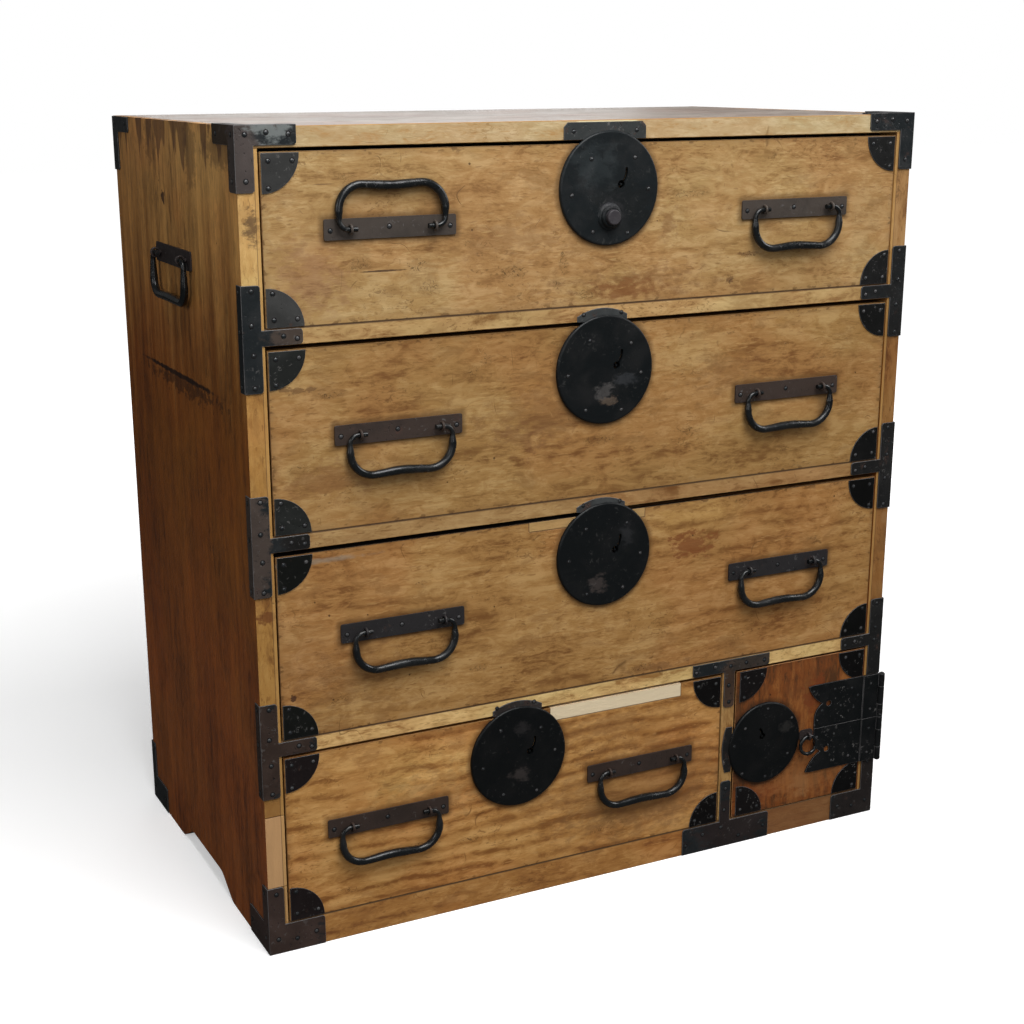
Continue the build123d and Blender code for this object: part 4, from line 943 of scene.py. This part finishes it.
class CHEST_OT_drawer_boards(bpy.types.Operator):
    """Drawer fronts with their figure and marks, and the plain boxes behind them"""
    bl_idname = "chest.drawer_boards"
    bl_label = "Drawer fronts and boxes"

    def execute(self, context):
        wood, _, _ = settings()
        # the rounded edges are worn wood, with painted shade along the line under each drawer front
        worn = wood_material("worn front edge", (0.46, 0.28, 0.10), (0.30, 0.16, 0.05),
                             wood.brown, seed=13.0, figure=0.1, weather=parting_lines)
        bottom, sides, back = (
            wood_material("drawer box " + part, (0.60, 0.43, 0.245), (0.47, 0.32, 0.165),
                          (0.28, 0.175, 0.085), run=run, seed=seed, rings=8.0, waves=0.6,
                          figure=0.30, streak=0.34, mottle=0.14, cloud=0.25, fibre=0.38,
                          blotch=0.2, scuffs=0.2, gloss=0.1, fleck=0.1)
            for part, run, seed in (("bottom", "top", 14.0), ("sides", "y", 15.0),
                                    ("back", "x", 16.0)))
        # the hollows behind the lock plates get near-black wood as painted shade
        shadow = wood_material("lock pockets", (0.012, 0.008, 0.006), (0.009, 0.006, 0.005),
                               (0.006, 0.004, 0.004), seed=17.0)
        for name in DRAWERS:
            tones = [times(tone, FRONT_TINT[name]) for tone in (wood.pale, wood.honey, wood.brown)]
            centre, half = box_mid(name + "_front")
            front = wood_material(name + " front", *tones, spots=front_stains(name),
                                  grime=plate_edges(name), border=(centre, (half.x, 1.0, half.z)),
                                  weather=parting_lines, **FRONT_LOOK[name])
            darken_pocket(dress(name + "_front", [front, worn, shadow], wood.edge_wear), name)
            piece = dress(name + "_box", [bottom, bottom, sides, back], wood.edge_wear)
            paint(piece, 2, lambda face: abs(face.normal.x) > FLAT)
            paint(piece, 3, lambda face: abs(face.normal.y) > FLAT)
        return {"FINISHED"}


class CHEST_OT_door_board(bpy.types.Operator):
    """The small door's reddish panel"""
    bl_idname = "chest.door_board"
    bl_label = "Door"

    def execute(self, context):
        wood, _, _ = settings()
        worn = wood_material("worn door edge", (0.45, 0.24, 0.09), (0.35, 0.17, 0.06),
                             wood.door_red, seed=15.0, figure=0.1)
        centre, half = box_mid("door_panel")
        panel = wood_material(
            "door wood", (0.275, 0.097, 0.021), (0.185, 0.053, 0.010), times(wood.door_red, 0.32),
            run="z", seed=16.0, rings=7.0, figure=0.22, bands=0.45, streak=0.60,
            grime=[plate_edge("door")], border=(centre, (half.x, 1.0, half.z)),
            spots=front_marks((708, 172, 20, 34, (0.17, 0.038, 0.008), 0.7, 0.8, 0.6),
                              (702, 112, 30, 24, (0.16, 0.040, 0.008), 0.45, 0.6, 0.8),
                              (640, 62, 45, 14, (0.22, 0.055, 0.012), 0.6, 0.7, 0.7),
                              (690, 60, 16, 20, (0.42, 0.24, 0.10), 0.3, 0.6, 0.7),
                              (700, 70, 100, 35, (0.30, 0.125, 0.038), 0.55, 0.5, 0.8)))
        # the same near-black painted shade for the hollow behind the door's lock plate
        shadow = bpy.data.materials["lock pockets"]
        darken_pocket(dress("door_panel", [panel, worn, shadow], wood.edge_wear), "door")
        return {"FINISHED"}


# ---------------------------------------------------------------- ironwork
# colour, rust and pale chips of the quarter irons of each front
QUARTER_LOOK = {
    "drawer_1": ((0.034, 0.034, 0.033), 0.30, 0.5),
    "drawer_2": ((0.015, 0.016, 0.015), 0.25, 0.5),
    "drawer_3": ((0.0055, 0.006, 0.0052), 0.15, 0.5),
    "drawer_4": ((0.011, 0.0078, 0.0078), 0.20, 0.6),
    "door": ((0.0060, 0.0050, 0.0050), 0.15, 0.9),
}
# tone of each lock plate, then its worn patches: place from the plate's middle, half width
# and height in millimetres, colour and strength
LOCK_LOOK = {
    "drawer_1": (0.62, (5, -22, 18, 18, (0.040, 0.038, 0.042), 0.6),
                 (20, -20, 45, 40, (0.006, 0.007, 0.007), 0.6),
                 (-20, 25, 35, 30, (0.024, 0.030, 0.032), 0.5)),
    "drawer_2": (0.36, (-2, -22, 14, 12, (0.060, 0.056, 0.054), 0.8),
                 (4, -34, 12, 6, (0.085, 0.062, 0.045), 0.8),
                 (25, -12, 20, 8, (0.040, 0.042, 0.046), 0.5)),
    "drawer_3": (0.30, (-8, -32, 14, 13, (0.045, 0.036, 0.033), 0.8),
                 (28, 20, 10, 16, (0.022, 0.022, 0.024), 0.5)),
    "drawer_4": (0.20, (4, 34, 12, 10, (0.022, 0.020, 0.020), 0.6),
                 (0, -22, 15, 10, (0.034, 0.028, 0.026), 0.7)),
    "door": (0.20, (22, 2, 6, 6, (0.003, 0.003, 0.003), 0.9),
             (30, 16, 12, 10, (0.030, 0.028, 0.026), 0.6)),
}
CASE_TOP = CASE_H / MM


class CHEST_OT_ironwork(bpy.types.Operator):
    """Corner irons, straps, strikes, locks, hinges and bolts"""
    bl_idname = "chest.ironwork"
    bl_label = "Ironwork"

    def execute(self, context):
        _, iron, _ = settings()
        # the lighter, shinier iron of the rounded edges and bolts is partly rubbed wear and partly
        # painted highlight
        bright = iron_material("rubbed iron edge", iron.grey, times(iron.grey, 2.0), iron.rust, 0.3,
                               seed=1.0, shine=0.34, wear=0.8, light=0.5)
        self.case_irons(iron, bright)
        self.hinges(iron, bright)
        for name in QUARTER_LOOK:
            self.quarter_irons(name, iron, bright)
        for name in LOCK_LOOK:
            self.lock_plate(name, iron, bright)
        button = iron_material("button iron", (0.040, 0.036, 0.040), iron.grey, iron.rust, 0.1,
                               seed=8.0, shine=0.42)
        dress("drawer_1_lock_button", [button, bright], 0.0)
        return {"FINISHED"}

    def case_irons(self, iron, bright):
        # the dark marks at x 800, over the right side irons and their foot, are painted shade where
        # the light falls off to the lower right
        case = iron_material(
            "case irons", times(iron.black, 0.7), times(iron.grey, 0.6), iron.rust, 0.30, seed=2.0,
            pits=0.9, shine=0.38, spots=iron_marks(
                (800, 0, 300, 120, 200, 520, (0.008, 0.0075, 0.007), 0.85, 0.2, 0.4),
                (0, 0, 815, 30, 90, 68, (0.062, 0.048, 0.043), 0.85, 0.2, 0.3),
                (36, 0, CASE_TOP, 24, 20, 20, (0.17, 0.185, 0.18), 0.85, 0.5, 0.6),
                (0, 46, CASE_TOP - 20, 10, 36, 60, (0.040, 0.027, 0.017), 0.9, 0.3, 0.3),
                (56, 0, 660, 38, 20, 14, (0.060, 0.043, 0.033), 0.9, 0.3, 0.4),
                (0, 0, 453, 22, 50, 75, (0.058, 0.042, 0.034), 0.9, 0.3, 0.3),
                (50, 0, 453, 26, 20, 14, (0.006, 0.005, 0.004), 0.85, 0.3, 0.4),
                (0, 0, 233, 80, 50, 80, (0.036, 0.021, 0.015), 0.85, 0.5, 0.3),
                (0, 0, 0, 85, 120, 110, (0.046, 0.027, 0.021), 0.8, 0.3, 0.3),
                (577, 0, 190, 14, 20, 60, (0.050, 0.028, 0.017), 0.85, 0.3, 0.4),
                (605, 0, 232, 40, 20, 12, (0.044, 0.032, 0.024), 0.7, 0.5, 0.4),
                (590, 0, 30, 70, 20, 45, (0.020, 0.013, 0.012), 0.8, 0.4, 0.4),
                (800, 0, 0, 85, 120, 110, (0.014, 0.010, 0.009), 0.8, 0.3, 0.3)))
        strike = iron_material(
            "strike irons", (0.034, 0.037, 0.037), (0.085, 0.09, 0.09), iron.rust, 0.50, seed=9.0,
            pits=0.9, shine=0.40, chips=0.9, spots=iron_marks(
                (680, 0, 130, 180, 200, 90, (0.006, 0.005, 0.005), 0.9, 0.1, 0.2),
                (284, 0, 228, 60, 200, 20, (0.020, 0.014, 0.012), 0.8, 0.5, 0.4)))
        # at the back the irons end just under the top, and don't share a plane with it
        ceiling = CASE_H - 0.0004
        for name, finish in (("corner_irons", case), ("strap_irons", case),
                             ("divider_irons", case), ("strike_plates", strike)):
            piece = dress(name, [finish, bright], iron.edge_wear)
            for corner in piece.data.vertices:
                if corner.co.z > ceiling and corner.co.y > 0.0:
                    corner.co.z = ceiling

    def hinges(self, iron, bright):
        hinge = iron_material("hinge irons", times(iron.black, 0.25), times(iron.grey, 0.3),
                              iron.rust, 0.18, seed=4.0, shine=0.30, wear=0.3, pits=0.9,
                              light=0.2, chips=0.9)
        for name in ("case_hinge_leaves", "door_hinge_leaves", "hinge_pins"):
            dress(name, [hinge, bright], iron.edge_wear * 0.7)

    def quarter_irons(self, name, iron, bright):
        """The quarter irons of one front, painted darker at its right edge as shade, and its bolt.
        """
        base, rusty, chipped = QUARTER_LOOK[name]
        low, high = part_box(name + "_corner_irons")
        # the right edge of each front is painted darker: shade where the light falls off to the
        # right
        far = ((high.x, FACE_Y, (low.z + high.z) / 2), (0.1, 0.1, 1.0), times(base, 0.15),
               0.95, 0.1, 0.2)
        quarter = iron_material(name + " corner irons", base, times(base, 1.8), iron.rust, rusty,
                                seed=len(name) + base[0] * 900.0, shine=0.36, wear=0.5,
                                light=0.15, chips=chipped, spots=(far,))
        dress(name + "_corner_irons", [quarter, bright], iron.edge_wear * 0.7)
        dress(name + "_bolt", [bright, bright], iron.edge_wear)

    def lock_plate(self, name, iron, bright):
        tone, *worn = LOCK_LOOK[name]
        centre, _ = box_mid(name + "_lock_plate")
        spots = [((centre.x + x * MM, FACE_Y, centre.z + z * MM), (w * MM, 0.03, t * MM), tint,
                  strength, 0.5, 0.6) for x, z, w, t, tint, strength in worn]
        lock = iron_material(name + " lock iron", times(iron.black, tone),
                             times(iron.grey, tone * 0.5), iron.rust, 0.06, seed=5.0, pits=0.3,
                             shine=0.34, wear=0.45, light=0.2, chips=0.15, spots=spots)
        dress(name + "_lock_plate", [lock, bright], 0.0)


# colour, rust and pits of the back plates
PLATE_LOOK = {
    "drawer_1": ((0.062, 0.050, 0.042), 0.15, 0.4),
    "drawer_2": ((0.047, 0.033, 0.027), 0.35, 0.6),
    "drawer_3": ((0.024, 0.022, 0.023), 0.40, 1.0),
    "drawer_4": ((0.040, 0.027, 0.022), 0.25, 0.6),
    "side": ((0.034, 0.026, 0.025), 0.35, 0.6),
}
ROUND_BAR = 60.0          # a bar's facets meet at less than this many degrees, and stay smooth


class CHEST_OT_handles(bpy.types.Operator):
    """Handle plates, split pins, bails and the pull ring"""
    bl_idname = "chest.handles"
    bl_label = "Handles"

    def execute(self, context):
        _, iron, _ = settings()
        # the lighter edge iron, partly rubbed wear and partly painted highlight
        bright = bpy.data.materials["rubbed iron edge"]
        plates = {}
        for seed, (name, (base, amount, pits)) in enumerate(PLATE_LOOK.items(), start=7):
            plates[name] = iron_material(name + " handle plates", base, times(base, 0.5),
                                         iron.rust, amount, seed=float(seed), shine=0.42,
                                         pits=pits, wear=0.6, chips=0.55)
            dress(name + "_handle_plates", [plates[name], bright], iron.edge_wear * 0.8)
        bail = iron_material("bail iron", times(iron.black, 0.3), times(iron.grey, 0.4),
                             iron.rust, 0.14, seed=6.0, shine=0.23, wear=0.25, light=0.42)
        for name in PLATE_LOOK:
            for side in SIDES:
                dress(f"{name}_bail_{side}", [bail, bail], 0.0, sharp=ROUND_BAR)
        dress("door_ring_staple", [plates["side"], bright], iron.edge_wear * 0.8)
        dress("door_ring", [bail, bail], 0.0, sharp=ROUND_BAR)
        return {"FINISHED"}


# ---------------------------------------------------------------- nails
# how far the outer face of each kind of plate stands off the wood
IRON_OUT, HANDLE_PLATE_OUT, LOCK_PLATE_OUT, STRIKE_OUT = 0.0016, 0.0018, 0.0036, 0.0012
AHEAD = (0.0, -1.0, 0.0)
# nails of the lock plates, in millimetres from the middle
DISC_NAILS = {
    "drawer_1": ((-22.7, 30.5), (29.5, 31), (-45.4, -5.9), (46.5, -1.5), (-19.9, -43.8),
                 (22, -46.7)),
    "drawer_2": ((-20, 33), (31, 27), (-46, -3), (44, -6), (-24, -42), (20, -45)),
    "drawer_3": ((-24, 32), (28, 33), (-45, -2), (46, -4), (-22, -43), (24, -41)),
    "drawer_4": ((-23, 35), (27, 30), (-45, -6), (45, 0), (-20, -42), (22, -45)),
    "door": ((2, 44), (38, 26), (-30, 24), (-45, 4), (34, -20), (-32, -34), (2, -44)),
}
# nails of the door's hinge leaves: millimetres from the case's side, from the seam, and out
DOOR_LEAF_NAILS = ((98, 49, 2), (84, 22, 2), (66, 47, 2), (56, 24, 2), (40, 44, 2), (36, 18, 2),
                   (30, 33, 2), (12, 46, 3.6), (11, 12, 3.6), (90, -12, 2), (66, -47, 2),
                   (64, -12, 2), (40, -46, 2), (38, -16, 2), (11, -14, 3.6), (12, -46, 3.6),
                   (98, -50, 2))


def front_nails(x, y, z, places, sx=1, sz=1, size=1.0):
    """Nails at places in millimetres from x and z, which the two signs mirror."""
    return [((x + sx * a * MM, y, z + sz * b * MM), AHEAD, size) for a, b in places]


def side_nail(sx, y, z):
    """A nail where an iron lies on the case's side."""
    return ((sx * (HALF_W + IRON_OUT), y, z), (sx, 0.0, 0.0), 1.0)


def quarter_nails(name):
    """Three in each quarter iron, and fewer where the door's hinge leaves lie over it."""
    low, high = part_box(name + "_corner_irons")
    out = []
    for x, sx in ((low.x, 1), (high.x, -1)):
        for z, sz in ((low.z, 1), (high.z, -1)):
            if name == "door" and sx < 0:
                places = ((7, 6.5),) if sz > 0 else ((7, 6.5), (28, 6.5))
            else:
                places = ((7, 7.5), (31, 7.5), (6.5, 33))
            out += front_nails(x, low.y, z, places, sx, sz)
    return out


def disc_nails(name):
    centre, _ = box_mid(name + "_lock_plate")
    return front_nails(centre.x, FACE_Y - LOCK_PLATE_OUT, centre.z, DISC_NAILS[name], size=0.9)


def handle_plate_nails(name):
    low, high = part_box(name + "_handle_plates")
    out = []
    for side in SIDES:
        bail, _ = box_mid(f"{name}_bail_{side}")
        out += front_nails(bail.x, FACE_Y - HANDLE_PLATE_OUT, (low.z + high.z) / 2,
                           ((-64, -1), (-2, 1), (64, -1)))
    return out


def corner_nails(sx):
    """Nails of the corner irons at one side, on the front and on the side board."""
    low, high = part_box("corner_irons")
    out = []
    for z, sz, leg, arm in ((high.z, -1, 52, 9), (low.z, 1, 70, 17)):
        places = ((9, arm), (52, arm), (8.5, leg), (30, arm * 0.8))
        out += front_nails(sx * HALF_W, FACE_Y - IRON_OUT, z, places, -sx, sz)
        for y, sy in ((low.y, 1), (high.y, -1)):
            for a, b in ((8, arm), (55, arm), (9, leg)):
                out.append(side_nail(sx, y + sy * (IRON_OUT + a * MM), z + sz * b * MM))
    return out


def strap_nails(sx):
    """Nails of the strap irons at one side; the lowest at the right, over the door, has fewer."""
    out = []
    for name in ("shelf_lower", "shelf_middle", "shelf_upper"):
        centre, _ = box_mid(name)
        z = centre.z - MM
        if sx > 0 and name == "shelf_lower":
            places = ((9, 47), (9, 16), (10, 0), (40, 2), (54, -1))
        else:
            places = ((9, 47), (9, -47), (8, 14), (9, -15), (40, 2), (54, -1))
        out += front_nails(sx * HALF_W, FACE_Y - IRON_OUT, z, places, -sx)
        out += [side_nail(sx, FACE_Y + 6 * MM, z + b * MM) for b in (46, -46, 8)]
    return out


def divider_nails():
    low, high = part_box("divider_irons")
    x = (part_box("divider")[0].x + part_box("drawer_4_front")[1].x) / 2 + 9 * MM
    y = FACE_Y - IRON_OUT
    over = ((-46, -9), (-20, -6), (2, -8), (24, -7), (50, -8), (0, -32), (1, -53))
    under = ((-54, 12), (-30, 22), (-4, 26), (22, 10), (58, 16), (0, 48), (1, 76))
    return front_nails(x, y, high.z, over) + front_nails(x, y, low.z, under)


def strike_nails():
    """Two in each strike plate over a drawer's lock."""
    out = []
    for name in DRAWERS:
        disc, _ = box_mid(name + "_lock_plate")
        if name == "drawer_1":
            middle, reach, z = -5, 37.5, CASE_H - 11 * MM
        else:
            middle, reach, z = -3.5, 23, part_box(name + "_front")[1].z + 12 * MM
        out += front_nails(disc.x, FACE_Y - STRIKE_OUT, z,
                           ((middle - reach, 0), (middle + reach, 0)), size=0.9)
    return out


def hinge_leaf_nails():
    centre, _ = box_mid("door_hinge_leaves")
    return [((HALF_W - x * MM, FACE_Y - out * MM, centre.z + z * MM), AHEAD, 0.9)
            for x, z, out in DOOR_LEAF_NAILS]


class CHEST_OT_nails(bpy.types.Operator):
    """Nail heads in every plate, disc and strap"""
    bl_idname = "chest.nails"
    bl_label = "Nails"

    def execute(self, context):
        _, iron, _ = settings()
        head = iron_material("nail heads", times(iron.black, 0.9), times(iron.grey, 1.3),
                             iron.rust, 0.15, seed=21.0, shine=0.24, wear=0.7, light=0.55)
        ring = iron_material("nail shadows", (0.006, 0.005, 0.005), (0.01, 0.009, 0.009),
                             iron.rust, 0.05, seed=22.0, shine=0.6, light=0.2)
        for body, heads in self.places().items():
            nail_heads(body + "_nails", body, heads, [head, ring])
        return {"FINISHED"}

    def places(self):
        """Foot, direction and size of every nail, listed by body."""
        fronts = {name: quarter_nails(name) + disc_nails(name) for name in ("door", *DRAWERS)}
        for name in DRAWERS:
            fronts[name] += handle_plate_nails(name)
        fronts["door"] += hinge_leaf_nails()
        edges = [nail for sx in (-1, 1) for nail in corner_nails(sx) + strap_nails(sx)]
        return {"case": edges + divider_nails() + strike_nails(), **fronts}


# ---------------------------------------------------------------- stage
CAMERA_AT = (-0.88771, FACE_Y - 1.52254, 0.91246)
CAMERA_YAW, CAMERA_PITCH, CAMERA_ROLL = 0.4582, 0.2758, -0.0038
CAMERA_SHIFT = (0.02143, 0.0239)
FLOOR_HALF = 14.0
# each lamp's name, the setting of its power, its place, where it aims and its size
LAMPS = (("key light", "key", (-0.1, -1.35, 2.45), (-0.1, -0.2, 0.5), 1.5),
         ("right light", "right", (2.6, -0.9, 1.9), (0.0, 0.0, 0.35), 1.3),
         ("front fill", "fill", (-0.7, -3.4, 1.5), (0.0, 0.0, 0.45), 1.6),
         ("left fill", "left", (-2.9, -1.0, 1.5), (-0.4, 0.0, 0.45), 1.2),
         ("back light", "back", (1.1, 3.0, 1.75), (0.0, 0.0, 0.86), 1.6))


class CHEST_OT_stage(bpy.types.Operator):
    """Pale floor, soft light and the camera"""
    bl_idname = "chest.stage"
    bl_label = "Stage, light and camera"

    def execute(self, context):
        _, _, stage = settings()
        self.floor(context.scene, stage)
        self.surround(context.scene, stage)
        for lamp in LAMPS:
            self.lamp(context.scene, stage, *lamp)
        self.camera(context.scene, stage)
        context.scene.view_settings.view_transform = "Standard"
        return {"FINISHED"}

    def floor(self, scene, stage):
        """Glows towards white away from the chest, and throws little light back at it."""
        bm = bmesh.new()
        bmesh.ops.create_grid(bm, x_segments=1, y_segments=1, size=FLOOR_HALF)
        mesh = bpy.data.meshes.new("floor")
        bm.to_mesh(mesh)
        bm.free()
        floor = bpy.data.objects.new("floor", mesh)
        scene.collection.objects.link(floor)
        material, g, shader, point = start_material("pale floor")
        seen = g.add("LightPath", {})
        glow = g.step(g.length(point), 0.8, 2.4)
        glow = g.mix(glow, (stage.glow,) * 3, (1.0, 1.0, 1.0))
        g.fill(shader, {"Base Color": g.mix(seen, (stage.bounce,) * 3, (0.9, 0.9, 0.9)),
                        "Emission Color": g.mix(seen, (0.0, 0.0, 0.0), glow),
                        "Emission Strength": 1.0, "Roughness": 1.0, "Specular IOR Level": 0.0})
        mesh.materials.append(material)

    def surround(self, scene, stage):
        """White to the camera, and much weaker as a light."""
        world = bpy.data.worlds.new("white surround")
        world.use_nodes = True
        g = Graph(world.node_tree)
        strength = g.add("Mix", {0: g.add("LightPath", {}), 2: stage.sky, 3: 1.0})
        g.fill(world.node_tree.nodes["Background"], {"Color": (1.0, 1.0, 1.0),
                                                     "Strength": strength})
        scene.world = world

    def lamp(self, scene, stage, name, power, place, aim, size):
        light = bpy.data.lights.new(name, "AREA")
        light.size = size
        light.energy = getattr(stage, power)
        lamp = bpy.data.objects.new(name, light)
        scene.collection.objects.link(lamp)
        lamp.location = place
        lamp.visible_camera = False
        lamp.rotation_euler = (Vector(aim) - Vector(place)).to_track_quat("-Z", "Y").to_euler()

    def camera(self, scene, stage):
        camera = bpy.data.cameras.new("camera")
        camera.sensor_width = 36.0
        camera.lens = stage.lens
        camera.shift_x, camera.shift_y = CAMERA_SHIFT
        cy, sy = math.cos(CAMERA_YAW), math.sin(CAMERA_YAW)
        cp, sp = math.cos(CAMERA_PITCH), math.sin(CAMERA_PITCH)
        ahead = Vector((sy * cp, cy * cp, -sp))
        right = Vector((cy, -sy, 0.0))
        up = right.cross(ahead)
        cr, sr = math.cos(CAMERA_ROLL), math.sin(CAMERA_ROLL)
        right, up = right * cr + up * sr, up * cr - right * sr
        eye = bpy.data.objects.new("camera", camera)
        scene.collection.objects.link(eye)
        turn = Matrix((right, up, -ahead)).transposed().to_4x4()
        eye.matrix_world = Matrix.Translation(CAMERA_AT) @ turn
        scene.camera = eye


class CHEST_PT_panel(bpy.types.Panel):
    """Lists the chest's settings and steps"""
    bl_idname = "CHEST_PT_panel"
    bl_label = "Clothing chest"
    bl_space_type = "VIEW_3D"
    bl_region_type = "UI"
    bl_category = "Chest"

    def draw(self, context):
        for group in settings():
            column = self.layout.column(align=True)
            for name in group.__annotations__:
                column.prop(group, name)
        for step in STEPS:
            self.layout.operator(step.bl_idname)


STEPS = (CHEST_OT_case_boards, CHEST_OT_drawer_boards, CHEST_OT_door_board, CHEST_OT_ironwork,
         CHEST_OT_handles, CHEST_OT_nails, CHEST_OT_stage)
CLASSES = (ChestWood, ChestIron, ChestStage, *STEPS, CHEST_PT_panel)


def register():
    for cls in CLASSES:
        bpy.utils.register_class(cls)
    bpy.types.Scene.chest_wood = PointerProperty(type=ChestWood)
    bpy.types.Scene.chest_iron = PointerProperty(type=ChestIron)
    bpy.types.Scene.chest_stage = PointerProperty(type=ChestStage)


def unregister():
    for name in ("chest_wood", "chest_iron", "chest_stage"):
        delattr(bpy.types.Scene, name)
    for cls in reversed(CLASSES):
        bpy.utils.unregister_class(cls)


def main():
    register()
    bpy.ops.chest.case_boards()
    bpy.ops.chest.drawer_boards()
    bpy.ops.chest.door_board()
    bpy.ops.chest.ironwork()
    bpy.ops.chest.handles()
    bpy.ops.chest.nails()
    bpy.ops.chest.stage()


if __name__ == "__main__":
    main()
